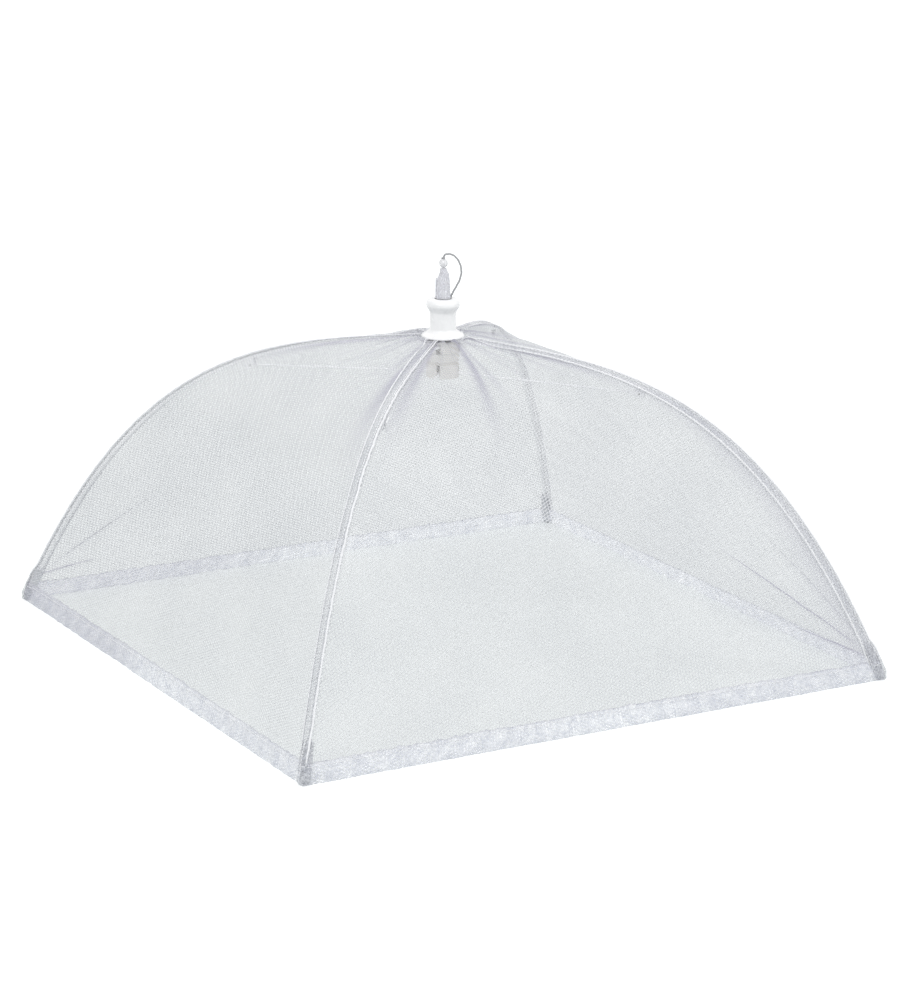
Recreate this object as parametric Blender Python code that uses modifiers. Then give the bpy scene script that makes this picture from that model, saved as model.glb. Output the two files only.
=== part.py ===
"""A four-ribbed folding food cover of white net, open and standing on its hem.

Metres, +Z up, the origin at the middle of the square base. Each rib runs along one diagonal of the
square. A canonical diagonal frame is used for everything that is repeated four times: X points
outward along the diagonal, Y lies across it and Z is up.
"""

import math

import bmesh
import bpy
from mathutils import Matrix, Vector

# Clearances
gap = 0.0003            # between pieces that touch
overrun = 0.002         # how far a cutter runs past what it cuts
weld_distance = 0.000003

# The base and the rise of the net, on its outer face
half_side = 0.216       # half the side of the square base
rise = 0.212            # height of the net where it would reach the middle
lean_share = 0.13       # how much of the fall is a straight slope
bow_power = 3.5         # how late the rest of the fall comes

# The net and its sewn edges
net_thickness = 0.0008
hem_height = 0.012
hem_thickness = 0.0015
tape_width = 0.007      # the felled seam over each rib
tape_thickness = 0.0008
sag_share = 0.045       # how far the middle of a gore hangs in, of its half width
sag_power = 4.0

# The hub on top of the net
mouth_radius = 0.0056
lip_radius = 0.0114     # of the round lip that the fingers hold, where it is widest
lip_edge_radius = 0.0068    # where the lip's flat top begins to round over
lip_peak_drop = 0.0041  # from the hub's top down to where the lip is widest
lip_height = 0.0098
neck_radius = 0.009
neck_height = 0.0107
flange_radius = 0.0145
flare_height = 0.0055
flange_edge = 0.0012
socket_radius = 0.0078
socket_depth = 0.0105

# The rib holder under the net
holder_radius = 0.0115
holder_roof = 0.0016
holder_skirt = 0.0045   # below the hinge pins
hinge_radius = 0.009    # from the middle to a rib's hinge pin

# Pins and the eyes that turn on them
pin_diameter = 0.0012
eye_radius = 0.0017
eye_swell = 0.0002      # an eye is this much thicker than its wire
hinge_pin_length = 0.0062
runner_pin_length = 0.0038

# Ribs
rib_diameter = 0.0024
rib_dip_reach = 0.026   # how far out the rib has risen to the net
cap_radius = 0.0033
cap_mouth_radius = 0.0026
cap_length = 0.024
cap_floor_gap = 0.0003
cap_wall = 0.0030       # solid end of the cap below the rib's end

# Clips that join the stretchers to the ribs
clip_reach = 0.137      # from the middle to the clip, along the net's outer face
clip_length = 0.007
clip_width = 0.0054
clip_pin_drop = 0.0044  # from the rib's centreline to the pin
clip_web = 0.0009       # between the rib's groove and the stretcher's slot
clip_top_set_back = 0.0002

# Stretchers
stretcher_diameter = 0.0014

# The runner and the pull rod
runner_radius = 0.0110
runner_pin_radius = 0.0092
runner_pin_drop = 0.0140   # from the runner's upper face down to its pins
runner_foot = 0.0028    # from the pins down to the runner's lower face
runner_slot_rise = 0.0064
runner_groove_depth = 0.0007
runner_groove_height = 0.0022
runner_core_radius = 0.0040
runner_exit_slide = 0.0022  # how far inward a pin slides as it leaves the runner
runner_floor = 0.0012   # between the stretchers' slots and the rod's seat
rod_radius = 0.0036
head_foot_radius = 0.0053
head_foot_edge = 0.0010
head_waist_radius = 0.0042
head_waist_height = 0.0132
head_neck_radius = 0.0022
head_taper_height = 0.0190
head_neck_height = 0.0010
finger_reach = 0.0052
finger_width = 0.0030
head_groove_width = 0.0022

# The pull cord and its bead
cord_diameter = 0.0014
bead_radius = 0.0030
cord_turn_degrees = -29.4   # the upright plane that the cord's loop lies in
cord_bore_radius = 0.0046   # where the cord stands in the mouth
cord_spacing = 0.0019       # between the points of its middle line

# Shares and powers of forms
cap_shoulder_share = 0.55    # of the cap's length
flare_power = 1.5            # how late the hub's flare spreads

# Facets
round_step_count = 32
eye_step_count = 16
pin_step_count = 12
bead_column_count = 16
bead_row_count = 10
flare_turn_count = 5
lip_turn_count = 5
wire_resolution = 1
cord_resolution = 2
route_step_count = 12        # between two hand-placed points of the cord
smooth_degrees = 35.0   # edges sharper than this stay sharp
search_step_count = 60
gore_row_count = 16
gore_column_count = 8
hem_column_count = 6
tape_column_count = 2
rib_row_count = 22
row_power = 0.75
cap_turn_count = 4
cap_step_count = 16
hem_row_count = 2

DIAGONALS = {"front": -135.0, "right": -45.0, "back": 45.0, "left": 135.0}
SIDES = {"front_right": 0.0, "back_right": 90.0, "back_left": 180.0, "front_left": 270.0}

reach = half_side * math.sqrt(2)
net_top_radius = socket_radius * math.sqrt(2)  # the net is clamped round the holder's neck


# The net's outer face along a diagonal
def net_height(radius):
    t = radius / reach
    return rise * (1 - lean_share * t - (1 - lean_share) * t**bow_power)


def net_slope(radius):
    t = radius / reach
    return -rise / reach * (lean_share + (1 - lean_share) * bow_power * t ** (bow_power - 1))


def net_normal(radius):
    return Vector((-net_slope(radius), 0, 1)).normalized()


def under_net(radius, depth):
    """A point of the diagonal plane that lies this deep under the net's outer face."""
    return Vector((radius, 0, net_height(radius))) - depth * net_normal(radius)


def radius_where(depth, height):
    """The radius at which the curve at this depth under the net comes down to a height."""
    low, high = 0.0, reach
    for _ in range(search_step_count):
        middle = (low + high) / 2
        if under_net(middle, depth).z > height:
            low = middle
        else:
            high = middle
    return low


def spread(start, end, count, power=row_power):
    """Radii from start to end, closer together where the net is steep."""
    return [start + (end - start) * (i / count) ** power for i in range(count + 1)]


# Heights that follow from the net
flange_bottom = net_height(net_top_radius) + gap
flare_top = flange_bottom + flare_height
lip_bottom = flange_bottom + neck_height + flare_height
hub_top = lip_bottom + lip_height
socket_top = flange_bottom + socket_depth
roof_top = net_height(holder_radius * math.sqrt(2)) - net_thickness - gap
slot_top = roof_top - holder_roof
hinge_height = slot_top - gap - eye_radius
holder_bottom = hinge_height - holder_skirt
holder_neck_radius = socket_radius - gap
holder_neck_top = socket_top - gap

pin_radius = pin_diameter / 2
pin_hole_radius = pin_radius + gap
rib_radius = rib_diameter / 2
rib_depth = tape_thickness + gap + rib_radius
rib_eye = rib_diameter + eye_swell
rib_slot = rib_eye + 2 * gap
seam_half = tape_width / 2
gore_edge = (seam_half + gap) * math.sqrt(2)

hinge = Vector((hinge_radius, 0, hinge_height))
clip_axis = under_net(clip_reach, rib_depth + clip_pin_drop)
stretcher_radius = stretcher_diameter / 2
stretcher_eye = stretcher_diameter + eye_swell
stretcher_slot = stretcher_eye + 2 * gap

runner_top = holder_bottom - gap
runner_pin_height = runner_top - runner_pin_drop
runner_pin = Vector((runner_pin_radius, 0, runner_pin_height))
runner_bottom = runner_pin_height - runner_foot
runner_slot_top = runner_pin_height + runner_slot_rise
rod_bottom = runner_slot_top + runner_floor + gap
head_bottom = hub_top + gap
head_top = head_bottom + head_taper_height + head_neck_height

cap_end_radius = radius_where(rib_depth, cap_radius + cap_floor_gap)
cap_end = under_net(cap_end_radius, rib_depth)
cap_top_radius = cap_end_radius - cap_length * math.cos(math.atan(net_slope(cap_end_radius)))
cap_top = under_net(cap_top_radius, rib_depth)


# The scene
def clear_scene():
    for thing in list(bpy.data.objects):
        bpy.data.objects.remove(thing, do_unlink=True)
    for group in list(bpy.data.collections):
        bpy.data.collections.remove(group)


def new_collection(name, hidden=False):
    group = bpy.data.collections.new(name)
    group.hide_render = hidden
    bpy.context.scene.collection.children.link(group)
    return group


clear_scene()
parts = new_collection("mesh_food_cover_umbrella")
cutters = new_collection("cutters", hidden=True)


def finish_of(name, colour, roughness, metallic=0.0):
    """A Principled material, made once for each kind of piece."""
    if name in bpy.data.materials:
        return bpy.data.materials[name]
    material = bpy.data.materials.new(name)
    material.use_nodes = True
    shader = material.node_tree.nodes["Principled BSDF"]
    shader.inputs["Base Color"].default_value = (*colour, 1)
    shader.inputs["Roughness"].default_value = roughness
    shader.inputs["Metallic"].default_value = metallic
    return material


def add(name, mesh, material=None, group=None):
    thing = bpy.data.objects.new(name, mesh)
    (group or parts).objects.link(thing)
    if material:
        mesh.materials.clear()
        mesh.materials.append(material)
    return thing


def hide_as_cutter(thing):
    thing.display_type = "WIRE"
    thing.hide_render = True
    return thing


def mesh_from(name, make):
    """A mesh that make(bm) fills."""
    bm = bmesh.new()
    make(bm)
    bmesh.ops.recalc_face_normals(bm, faces=bm.faces)
    mesh = bpy.data.meshes.new(name)
    bm.to_mesh(mesh)
    bm.free()
    return mesh


def box_mesh(name, size, matrix):
    def make(bm):
        bmesh.ops.create_cube(bm, size=1.0, matrix=matrix @ Matrix.Diagonal((*size, 1)))

    return mesh_from(name, make)


def rod_mesh(name, radius, length, matrix, steps=pin_step_count):
    """A cylinder whose axis is the matrix's Z."""

    def make(bm):
        bmesh.ops.create_cone(
            bm, cap_ends=True, segments=steps, radius1=radius, radius2=radius, depth=length, matrix=matrix
        )

    return mesh_from(name, make)


def across(point):
    """A matrix at a point of the diagonal plane, with its Z along the pins."""
    return Matrix.Translation(point) @ Matrix.Rotation(math.radians(90), 4, "X")


def along(point, direction):
    """A matrix at a point of the diagonal plane, with its X along a direction in that plane."""
    x = direction.normalized()
    y = Vector((0, 1, 0))
    z = x.cross(y)
    return Matrix.Translation(point) @ Matrix((x, y, z)).transposed().to_4x4()


def upright(point, direction):
    """A matrix at a point of the diagonal plane, with its Z along a direction in that plane."""
    z = direction.normalized()
    y = Vector((0, 1, 0))
    x = y.cross(z)
    return Matrix.Translation(point) @ Matrix((x, y, z)).transposed().to_4x4()


def baked(thing):
    """The mesh of an object with its modifiers, in world space."""
    bpy.context.view_layer.update()
    graph = bpy.context.evaluated_depsgraph_get()
    mesh = bpy.data.meshes.new_from_object(thing.evaluated_get(graph))
    mesh.transform(thing.matrix_world)
    bpy.data.objects.remove(thing, do_unlink=True)
    return mesh


def welded(mesh):
    bm = bmesh.new()
    bm.from_mesh(mesh)
    bmesh.ops.remove_doubles(bm, verts=bm.verts, dist=weld_distance)
    bmesh.ops.recalc_face_normals(bm, faces=bm.faces)
    bm.to_mesh(mesh)
    bm.free()
    return mesh


def boolean(thing, operation, other):
    modifier = thing.modifiers.new(other.name, "BOOLEAN")
    modifier.operation = operation
    modifier.solver = "EXACT"
    modifier.object = other


def cut(thing, name, mesh):
    boolean(thing, "DIFFERENCE", hide_as_cutter(add(name, mesh, group=cutters)))


def join(thing, name, mesh):
    boolean(thing, "UNION", hide_as_cutter(add(name, mesh, group=cutters)))


def turned(name, profile, steps=round_step_count):
    """A solid turned about Z from a closed profile of (radius, height), outer side first, downward."""
    mesh = bpy.data.meshes.new(name)
    points = [(radius, 0, height) for radius, height in profile]
    edges = [(i, (i + 1) % len(points)) for i in range(len(points))]
    if profile[0][0] == 0:
        edges = edges[:-1]
    mesh.from_pydata(points, edges, [])
    thing = add(name, mesh)
    screw = thing.modifiers.new("Turn", "SCREW")
    screw.steps = screw.render_steps = steps
    screw.use_merge_vertices = True
    screw.merge_threshold = weld_distance
    screw.use_smooth_shade = True
    return thing


def tube_mesh(name, points, radius, resolution=wire_resolution):
    """A closed tube along a row of points, as a welded mesh."""
    curve = bpy.data.curves.new(name, "CURVE")
    curve.dimensions = "3D"
    curve.bevel_depth = radius
    curve.bevel_resolution = resolution
    curve.use_fill_caps = True
    spline = curve.splines.new("POLY")
    spline.points.add(len(points) - 1)
    for place, point in zip(spline.points, points):
        place.co = (*point, 1)
    return welded(baked(add(name, curve)))


def sheet_mesh(name, rows, columns, place):
    """An open grid of faces; place(down, across) gives each point from two shares from 0 to 1."""

    def make(bm):
        bmesh.ops.create_grid(bm, x_segments=rows, y_segments=columns, size=1.0)
        for vertex in bm.verts:
            vertex.co = place((vertex.co.x + 1) / 2, (vertex.co.y + 1) / 2)

    return mesh_from(name, make)


def thicken(thing, thickness):
    """Solidify to the side that faces the middle of the cover, whichever way the grid came out."""
    face = max(thing.data.polygons, key=lambda polygon: polygon.center.z)
    solid = thing.modifiers.new("Thickness", "SOLIDIFY")
    solid.thickness = thickness
    solid.offset = -1 if face.normal.z > 0 else 1
    solid.use_even_offset = True


def walled(mesh, offset):
    """A closed solid from an open grid and its copy, moved by an offset."""
    bm = bmesh.new()
    bm.from_mesh(mesh)
    grown = bmesh.ops.extrude_face_region(bm, geom=bm.faces[:])
    moved = [item for item in grown["geom"] if isinstance(item, bmesh.types.BMVert)]
    bmesh.ops.translate(bm, verts=moved, vec=offset)
    bmesh.ops.recalc_face_normals(bm, faces=bm.faces)
    bm.to_mesh(mesh)
    bm.free()
    return mesh


def smooth(thing):
    thing.data.shade_smooth()
    thing.data.set_sharp_from_angle(angle=math.radians(smooth_degrees))
    return thing


def empty(name, location, degrees=0.0, parent=None):
    """An empty on a joint's axis, turned to its diagonal."""
    thing = bpy.data.objects.new(name, None)
    thing.empty_display_size = flange_radius
    parts.objects.link(thing)
    thing.matrix_world = Matrix.Rotation(math.radians(degrees), 4, "Z") @ Matrix.Translation(location)
    if parent:
        bpy.context.view_layer.update()
        thing.parent = parent
        thing.matrix_parent_inverse = parent.matrix_world.inverted()
    return thing


def on_each(mesh, name, material, axes, origin):
    """One object a diagonal, sharing a mesh that is drawn in the diagonal frame."""
    mesh.transform(Matrix.Translation(-origin))
    made = {}
    for side, axis in axes.items():
        thing = add(f"{name}_{side}", mesh, material)
        thing.parent = axis
        made[side] = smooth(thing)
    return made


# Finishes
white_gloss = ("glossy white plastic", (0.86, 0.86, 0.86), 0.25)
white_plain = ("white plastic", (0.80, 0.80, 0.79), 0.45)
warm_plain = ("warm white plastic", (0.66, 0.60, 0.55), 0.5)
clear_white = ("translucent white plastic", (0.74, 0.76, 0.78), 0.3)
white_wire = ("white coated wire", (0.85, 0.85, 0.86), 0.35)
steel = ("plated steel", (0.62, 0.62, 0.62), 0.35, 1.0)
grey_cap = ("grey end cap", (0.62, 0.64, 0.66), 0.5)
white_net = ("white net", (0.88, 0.89, 0.91), 0.85)
white_tape = ("white sewn tape", (0.82, 0.84, 0.87), 0.8)
grey_cord = ("grey cord", (0.52, 0.52, 0.54), 0.7)


# The hub, its holder and the hinge pins
def make_hub():
    lip = []
    for i in range(lip_turn_count):
        angle = math.radians(90) * i / lip_turn_count
        radius = lip_edge_radius + (lip_radius - lip_edge_radius) * math.sin(angle)
        lip.append((radius, hub_top - lip_peak_drop * (1 - math.cos(angle))))
    for i in range(lip_turn_count + 1):
        share = i / lip_turn_count
        radius = neck_radius + (lip_radius - neck_radius) * (1 + math.cos(math.radians(180) * share)) / 2
        lip.append((radius, hub_top - lip_peak_drop - (lip_height - lip_peak_drop) * share))
    flare = []
    for i in range(flare_turn_count + 1):
        share = i / flare_turn_count
        radius = neck_radius + (flange_radius - neck_radius) * share**flare_power
        flare.append((radius, flare_top - (flare_height - flange_edge) * share))
    profile = [
        (mouth_radius, hub_top),
        *lip,
        *flare,
        (flange_radius, flange_bottom),
        (socket_radius, flange_bottom),
        (socket_radius, socket_top),
        (mouth_radius, socket_top),
    ]
    hub = turned("crown_hub", profile)
    hub.data.materials.append(finish_of(*white_gloss))


def make_holder():
    profile = [
        (mouth_radius, holder_neck_top),
        (holder_neck_radius, holder_neck_top),
        (holder_neck_radius, roof_top),
        (holder_radius, roof_top),
        (holder_radius, holder_bottom),
        (mouth_radius, holder_bottom),
    ]
    holder = turned("rib_holder", profile)
    holder.data.materials.append(finish_of(*warm_plain))
    slot_start = hinge_radius - eye_radius - gap
    slot_end = holder_radius + overrun
    slot_floor = holder_bottom - overrun
    middle = Vector(((slot_start + slot_end) / 2, 0, (slot_top + slot_floor) / 2))
    size = (slot_end - slot_start, rib_slot, slot_top - slot_floor)
    for side, degrees in DIAGONALS.items():
        turn = Matrix.Rotation(math.radians(degrees), 4, "Z")
        cut(holder, f"cut_holder_slot_{side}", box_mesh("slot", size, turn @ Matrix.Translation(middle)))
        bore = rod_mesh("bore", pin_hole_radius, hinge_pin_length + 2 * gap, turn @ across(hinge))
        cut(holder, f"cut_holder_pin_{side}", bore)


# One rib with its clip, its corner cap and its seam tape
def rib_line():
    """The rib's centreline, from its hinge pin to its end inside the corner cap."""
    points = [hinge]
    lowest = under_net(hinge_radius, rib_depth).z - hinge_height
    for radius in spread(hinge_radius + eye_radius, cap_top_radius, rib_row_count):
        point = under_net(radius, rib_depth)
        short_of = max(0.0, 1 - (point.x - hinge_radius) / rib_dip_reach)
        points.append(point - Vector((0, 0, lowest * short_of**2)))
    rib_end = cap_end + (cap_top - cap_end).normalized() * (cap_wall - cap_radius)
    points.append(rib_end)
    return points


def eye_mesh(name, point, thickness):
    return rod_mesh(name, eye_radius, thickness, across(point), steps=eye_step_count)


def make_rib():
    rib = add("rib", tube_mesh("rib", rib_line(), rib_radius))
    join(rib, "join_rib_eye", eye_mesh("eye", hinge, rib_eye))
    cut(rib, "cut_rib_eye", rod_mesh("bore", pin_hole_radius, rib_eye + overrun, across(hinge)))
    return baked(rib)


def make_clip():
    """A saddle snapped over the rib, with two ears that hold the stretcher's pin."""
    normal = net_normal(clip_reach)
    tangent = Vector((normal.z, 0, -normal.x))
    frame = along(under_net(clip_reach, rib_depth), tangent)
    top = rib_radius - clip_top_set_back
    bottom = -clip_pin_drop - eye_radius - gap
    middle = Matrix.Translation((0, 0, (top + bottom) / 2))
    clip = add("clip", box_mesh("clip", (clip_length, clip_width, top - bottom), frame @ middle))
    groove_floor = -rib_radius - gap
    groove_top = top + overrun
    groove_size = (clip_length + overrun, rib_slot, groove_top - groove_floor)
    groove = Matrix.Translation((0, 0, (groove_top + groove_floor) / 2))
    cut(clip, "cut_clip_groove", box_mesh("groove", groove_size, frame @ groove))
    slot_roof = groove_floor - clip_web
    slot_floor = bottom - overrun
    slot_size = (clip_length + overrun, stretcher_slot, slot_roof - slot_floor)
    slot = Matrix.Translation((0, 0, (slot_roof + slot_floor) / 2))
    cut(clip, "cut_clip_slot", box_mesh("slot", slot_size, frame @ slot))
    bore = rod_mesh("bore", pin_hole_radius, clip_width + overrun, across(clip_axis))
    cut(clip, "cut_clip_pin", bore)
    return baked(clip)


def make_cap():
    """The rounded cap on a rib's end, which stands in the corner of the hem."""
    length = (cap_top - cap_end).length
    bore_radius = rib_radius + gap
    bore_floor = cap_wall - cap_radius - gap
    profile = [
        (0.0, bore_floor),
        (bore_radius, bore_floor),
        (bore_radius, length),
        (cap_mouth_radius, length),
        (cap_radius, length * cap_shoulder_share),
        (cap_radius, 0.0),
    ]
    for i in range(1, cap_turn_count):
        angle = math.radians(90) * i / cap_turn_count
        profile.append((cap_radius * math.cos(angle), -cap_radius * math.sin(angle)))
    profile.append((0.0, -cap_radius))
    cap = turned("cap", profile, steps=cap_step_count)
    cap.matrix_world = upright(cap_end, cap_top - cap_end)
    return baked(cap)


def make_tape():
    """The felled seam that lies over the rib, from the hub's flange to the corner cap."""
    last = cap_top_radius - gap / math.hypot(1, net_slope(cap_top_radius))
    radii = spread(net_top_radius, last, rib_row_count)

    def place(along_share, across_share):
        radius = radii[round(along_share * rib_row_count)]
        return Vector((radius, (across_share - 0.5) * tape_width, net_height(radius)))

    tape = add("tape", sheet_mesh("tape", rib_row_count, tape_column_count, place))
    thicken(tape, tape_thickness)
    return baked(tape)


# One stretcher and its pins
def make_stretcher():
    """A straight wire from the clip's pin to the runner's pin, with a flat eye at each end."""
    wire = tube_mesh("wire", [clip_axis, runner_pin], stretcher_radius)
    stretcher = add("stretcher", wire)
    for place, point in (("clip", clip_axis), ("runner", runner_pin)):
        join(stretcher, f"join_eye_{place}", eye_mesh("eye", point, stretcher_eye))
        bore = rod_mesh("bore", pin_hole_radius, stretcher_eye + overrun, across(point))
        cut(stretcher, f"cut_eye_{place}", bore)
    return baked(stretcher)


def make_pin(point, length):
    return rod_mesh("pin", pin_radius, length, across(point))


# The runner with its cross of slots, and the pull rod
def make_runner():
    bore_radius = rod_radius + gap
    groove_bottom = runner_slot_top
    profile = [
        (bore_radius, runner_top),
        (runner_radius, runner_top),
        (runner_radius, groove_bottom + runner_groove_height),
        (runner_radius - runner_groove_depth, groove_bottom + runner_groove_height),
        (runner_radius - runner_groove_depth, groove_bottom),
        (runner_radius, groove_bottom),
        (runner_radius, runner_bottom),
        (0.0, runner_bottom),
    ]
    profile = [(0.0, rod_bottom - gap), (bore_radius, rod_bottom - gap), *profile]
    runner = turned("runner", profile)
    runner.data.materials.append(finish_of(*warm_plain))
    outer = runner_radius + overrun
    floor = runner_bottom - overrun
    slot_size = (outer - runner_core_radius, stretcher_slot, runner_slot_top - floor)
    slot_middle = Vector(((outer + runner_core_radius) / 2, 0, (runner_slot_top + floor) / 2))
    pocket_outer = runner_pin_radius + pin_hole_radius
    pocket_inner = runner_pin_radius - pin_hole_radius - runner_exit_slide
    pocket_top = runner_pin_height + pin_hole_radius
    pocket_size = (pocket_outer - pocket_inner, runner_pin_length + 2 * gap, pocket_top - floor)
    pocket_middle = Vector(((pocket_outer + pocket_inner) / 2, 0, (pocket_top + floor) / 2))
    for side, degrees in DIAGONALS.items():
        turn = Matrix.Rotation(math.radians(degrees), 4, "Z")
        slot = box_mesh("slot", slot_size, turn @ Matrix.Translation(slot_middle))
        cut(runner, f"cut_runner_slot_{side}", slot)
        pocket = box_mesh("pocket", pocket_size, turn @ Matrix.Translation(pocket_middle))
        cut(runner, f"cut_runner_pocket_{side}", pocket)


def make_rod():
    """The rod that the runner hangs on, with the latch head that stands out of the hub's mouth."""
    waist = head_bottom + head_waist_height
    profile = [
        (0.0, head_top),
        (head_neck_radius, head_top),
        (head_neck_radius, head_bottom + head_taper_height),
        (head_waist_radius, waist),
        (head_foot_radius, head_bottom + head_foot_edge),
        (head_foot_radius, head_bottom),
        (rod_radius, head_bottom),
        (rod_radius, rod_bottom),
        (0.0, rod_bottom),
    ]
    rod = turned("pull_rod", profile)
    rod.data.materials.append(finish_of(*clear_white))
    turn = Matrix.Rotation(math.radians(cord_turn_degrees), 4, "Z")
    finger_size = (finger_reach, finger_width, head_waist_height - head_foot_edge)
    finger_middle = Vector((-finger_reach / 2, 0, head_bottom + (head_foot_edge + head_waist_height) / 2))
    finger = box_mesh("finger", finger_size, turn @ Matrix.Translation(finger_middle))
    join(rod, "join_latch_finger", finger)
    groove_top = waist + overrun
    groove_floor = head_bottom - overrun
    groove_size = (head_foot_radius, head_groove_width, groove_top - groove_floor)
    groove_middle = Vector((rod_radius + head_foot_radius / 2, 0, (groove_top + groove_floor) / 2))
    groove = box_mesh("groove", groove_size, turn @ Matrix.Translation(groove_middle))
    cut(rod, "cut_cord_groove", groove)


# The pull cord and its bead
def bead_height():
    return head_top + gap + bead_radius


def cord_route():
    """Hand-placed points of the loop, as (out from the middle, height above the hub's mouth)."""
    start = (cord_bore_radius, -0.0130)
    loop = [
        (cord_bore_radius, -0.0060),
        (cord_bore_radius, -0.0008),
        (0.0060, 0.0030),
        (0.0080, 0.0068),
        (0.0106, 0.0118),
        (0.0119, 0.0170),
        (0.0114, 0.0219),
        (0.0094, 0.0262),
        (0.0066, 0.0289),
        (0.0036, 0.0298),
        (0.0009, 0.0292),
    ]
    end = (0.0, bead_height() + bead_radius + gap - hub_top)
    return [start, *loop, end]


def smooth_route(points, spacing):
    """Evenly spaced points of a smooth curve through the route's own points."""
    knots = [points[0], *points, points[-1]]
    fine = []
    for i in range(1, len(knots) - 2):
        for step in range(route_step_count):
            s = step / route_step_count
            before, here, there, after = (Vector(knot) for knot in knots[i - 1 : i + 3])
            fine.append(
                0.5
                * (
                    2 * here
                    + (there - before) * s
                    + (2 * before - 5 * here + 4 * there - after) * s**2
                    + (3 * here - before - 3 * there + after) * s**3
                )
            )
    fine.append(Vector(knots[-1]))
    kept = [fine[0]]
    for point in fine[1:]:
        if (point - kept[-1]).length >= spacing:
            kept.append(point)
    kept[-1] = fine[-1]
    return kept


def make_cord():
    turn = Matrix.Rotation(math.radians(cord_turn_degrees), 4, "Z")
    points = smooth_route(cord_route(), cord_spacing)
    places = [turn @ Vector((out, 0, hub_top + up)) for out, up in points]
    mesh = tube_mesh("pull_cord", places, cord_diameter / 2, resolution=cord_resolution)
    smooth(add("pull_cord", mesh, finish_of(*grey_cord)))
    length = sum((b - a).length for a, b in zip(places, places[1:]))
    print(f"pull cord: {length * 1000:.1f} mm along its middle, {len(places)} points")


def make_bead():
    def make(bm):
        bmesh.ops.create_uvsphere(
            bm, u_segments=bead_column_count, v_segments=bead_row_count, radius=bead_radius
        )

    bead = add("cord_bead", mesh_from("cord_bead", make), finish_of(*clear_white))
    bead.location = (0, 0, bead_height())
    smooth(bead)


# The net's gores and hems
def gore_point(radius, across_share, height):
    """A point of the gore that faces -Y, on the row that starts at a rib's radius."""
    half = radius / math.sqrt(2)
    out = 2 * across_share - 1
    x = out * (half - gore_edge)
    slack = sag_share * (half - socket_radius) * (1 - (radius / reach) ** sag_power)
    return Vector((x, -half + slack * (1 - (x / half) ** 2), height))


def make_gore():
    last = radius_where(0.0, hem_height + gap)
    radii = spread(net_top_radius, last, gore_row_count)

    def place(down, across_share):
        radius = radii[round(down * gore_row_count)]
        return gore_point(radius, across_share, net_height(radius))

    gore = add("gore", sheet_mesh("gore", gore_row_count, gore_column_count, place))
    thicken(gore, net_thickness)
    return baked(gore)


def make_hem():
    """The doubled edge of one gore, whose underside is the flat face that the cover stands on."""

    def place(down, across_share):
        height = hem_height * (1 - down)
        return gore_point(radius_where(0.0, height) if down < 1 else reach, across_share, height)

    return walled(sheet_mesh("hem", hem_row_count, hem_column_count, place), Vector((0, hem_thickness, 0)))


# Putting the cover together
make_hub()
make_holder()
make_runner()
make_rod()
make_cord()
make_bead()

crown_axis = empty("crown_middle", (0, 0, hub_top))
rib_axes = {}
stretcher_axes = {}
for side, degrees in DIAGONALS.items():
    rib_axes[side] = empty(f"rib_hinge_{side}", hinge, degrees, crown_axis)
    stretcher_axes[side] = empty(f"stretcher_hinge_{side}", clip_axis, degrees, rib_axes[side])

on_each(make_pin(hinge, hinge_pin_length), "rib_pin", finish_of(*steel), rib_axes, hinge)
on_each(make_rib(), "rib", finish_of(*white_wire), rib_axes, hinge)
on_each(make_clip(), "rib_clip", finish_of(*steel), rib_axes, hinge)
on_each(make_pin(clip_axis, clip_width), "clip_pin", finish_of(*steel), rib_axes, hinge)
on_each(make_cap(), "corner_cap", finish_of(*grey_cap), rib_axes, hinge)
on_each(make_tape(), "seam_tape", finish_of(*white_tape), rib_axes, hinge)
on_each(make_stretcher(), "stretcher", finish_of(*white_wire), stretcher_axes, clip_axis)
runner_pin_mesh = make_pin(runner_pin, runner_pin_length)
on_each(runner_pin_mesh, "runner_pin", finish_of(*steel), stretcher_axes, clip_axis)

net_middles = {side: empty(f"gore_{side}_turn", (0, 0, 0), turn, crown_axis) for side, turn in SIDES.items()}
on_each(make_gore(), "gore", finish_of(*white_net), net_middles, Vector())
on_each(make_hem(), "hem", finish_of(*white_tape), net_middles, Vector())

print(f"net top {rise * 1000:.1f} mm, hub top {hub_top * 1000:.1f} mm, head top {head_top * 1000:.1f} mm")
print("hinge", [round(v, 5) for v in hinge], "clip", [round(v, 5) for v in clip_axis])
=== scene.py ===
# %% [markdown]
# A folding net cover for food is a small umbrella on four wire ribs.
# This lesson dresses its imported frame: every piece here lies where the frame says, in metres.
# The base is a square of 43 cm, its middle is the origin, and each rib runs along one diagonal.
# First come the view, the light and the floor, then the finishes, the pull cord and the other pieces.

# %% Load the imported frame
import math

import bmesh
import bpy
from mathutils import Matrix, Vector, noise


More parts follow.
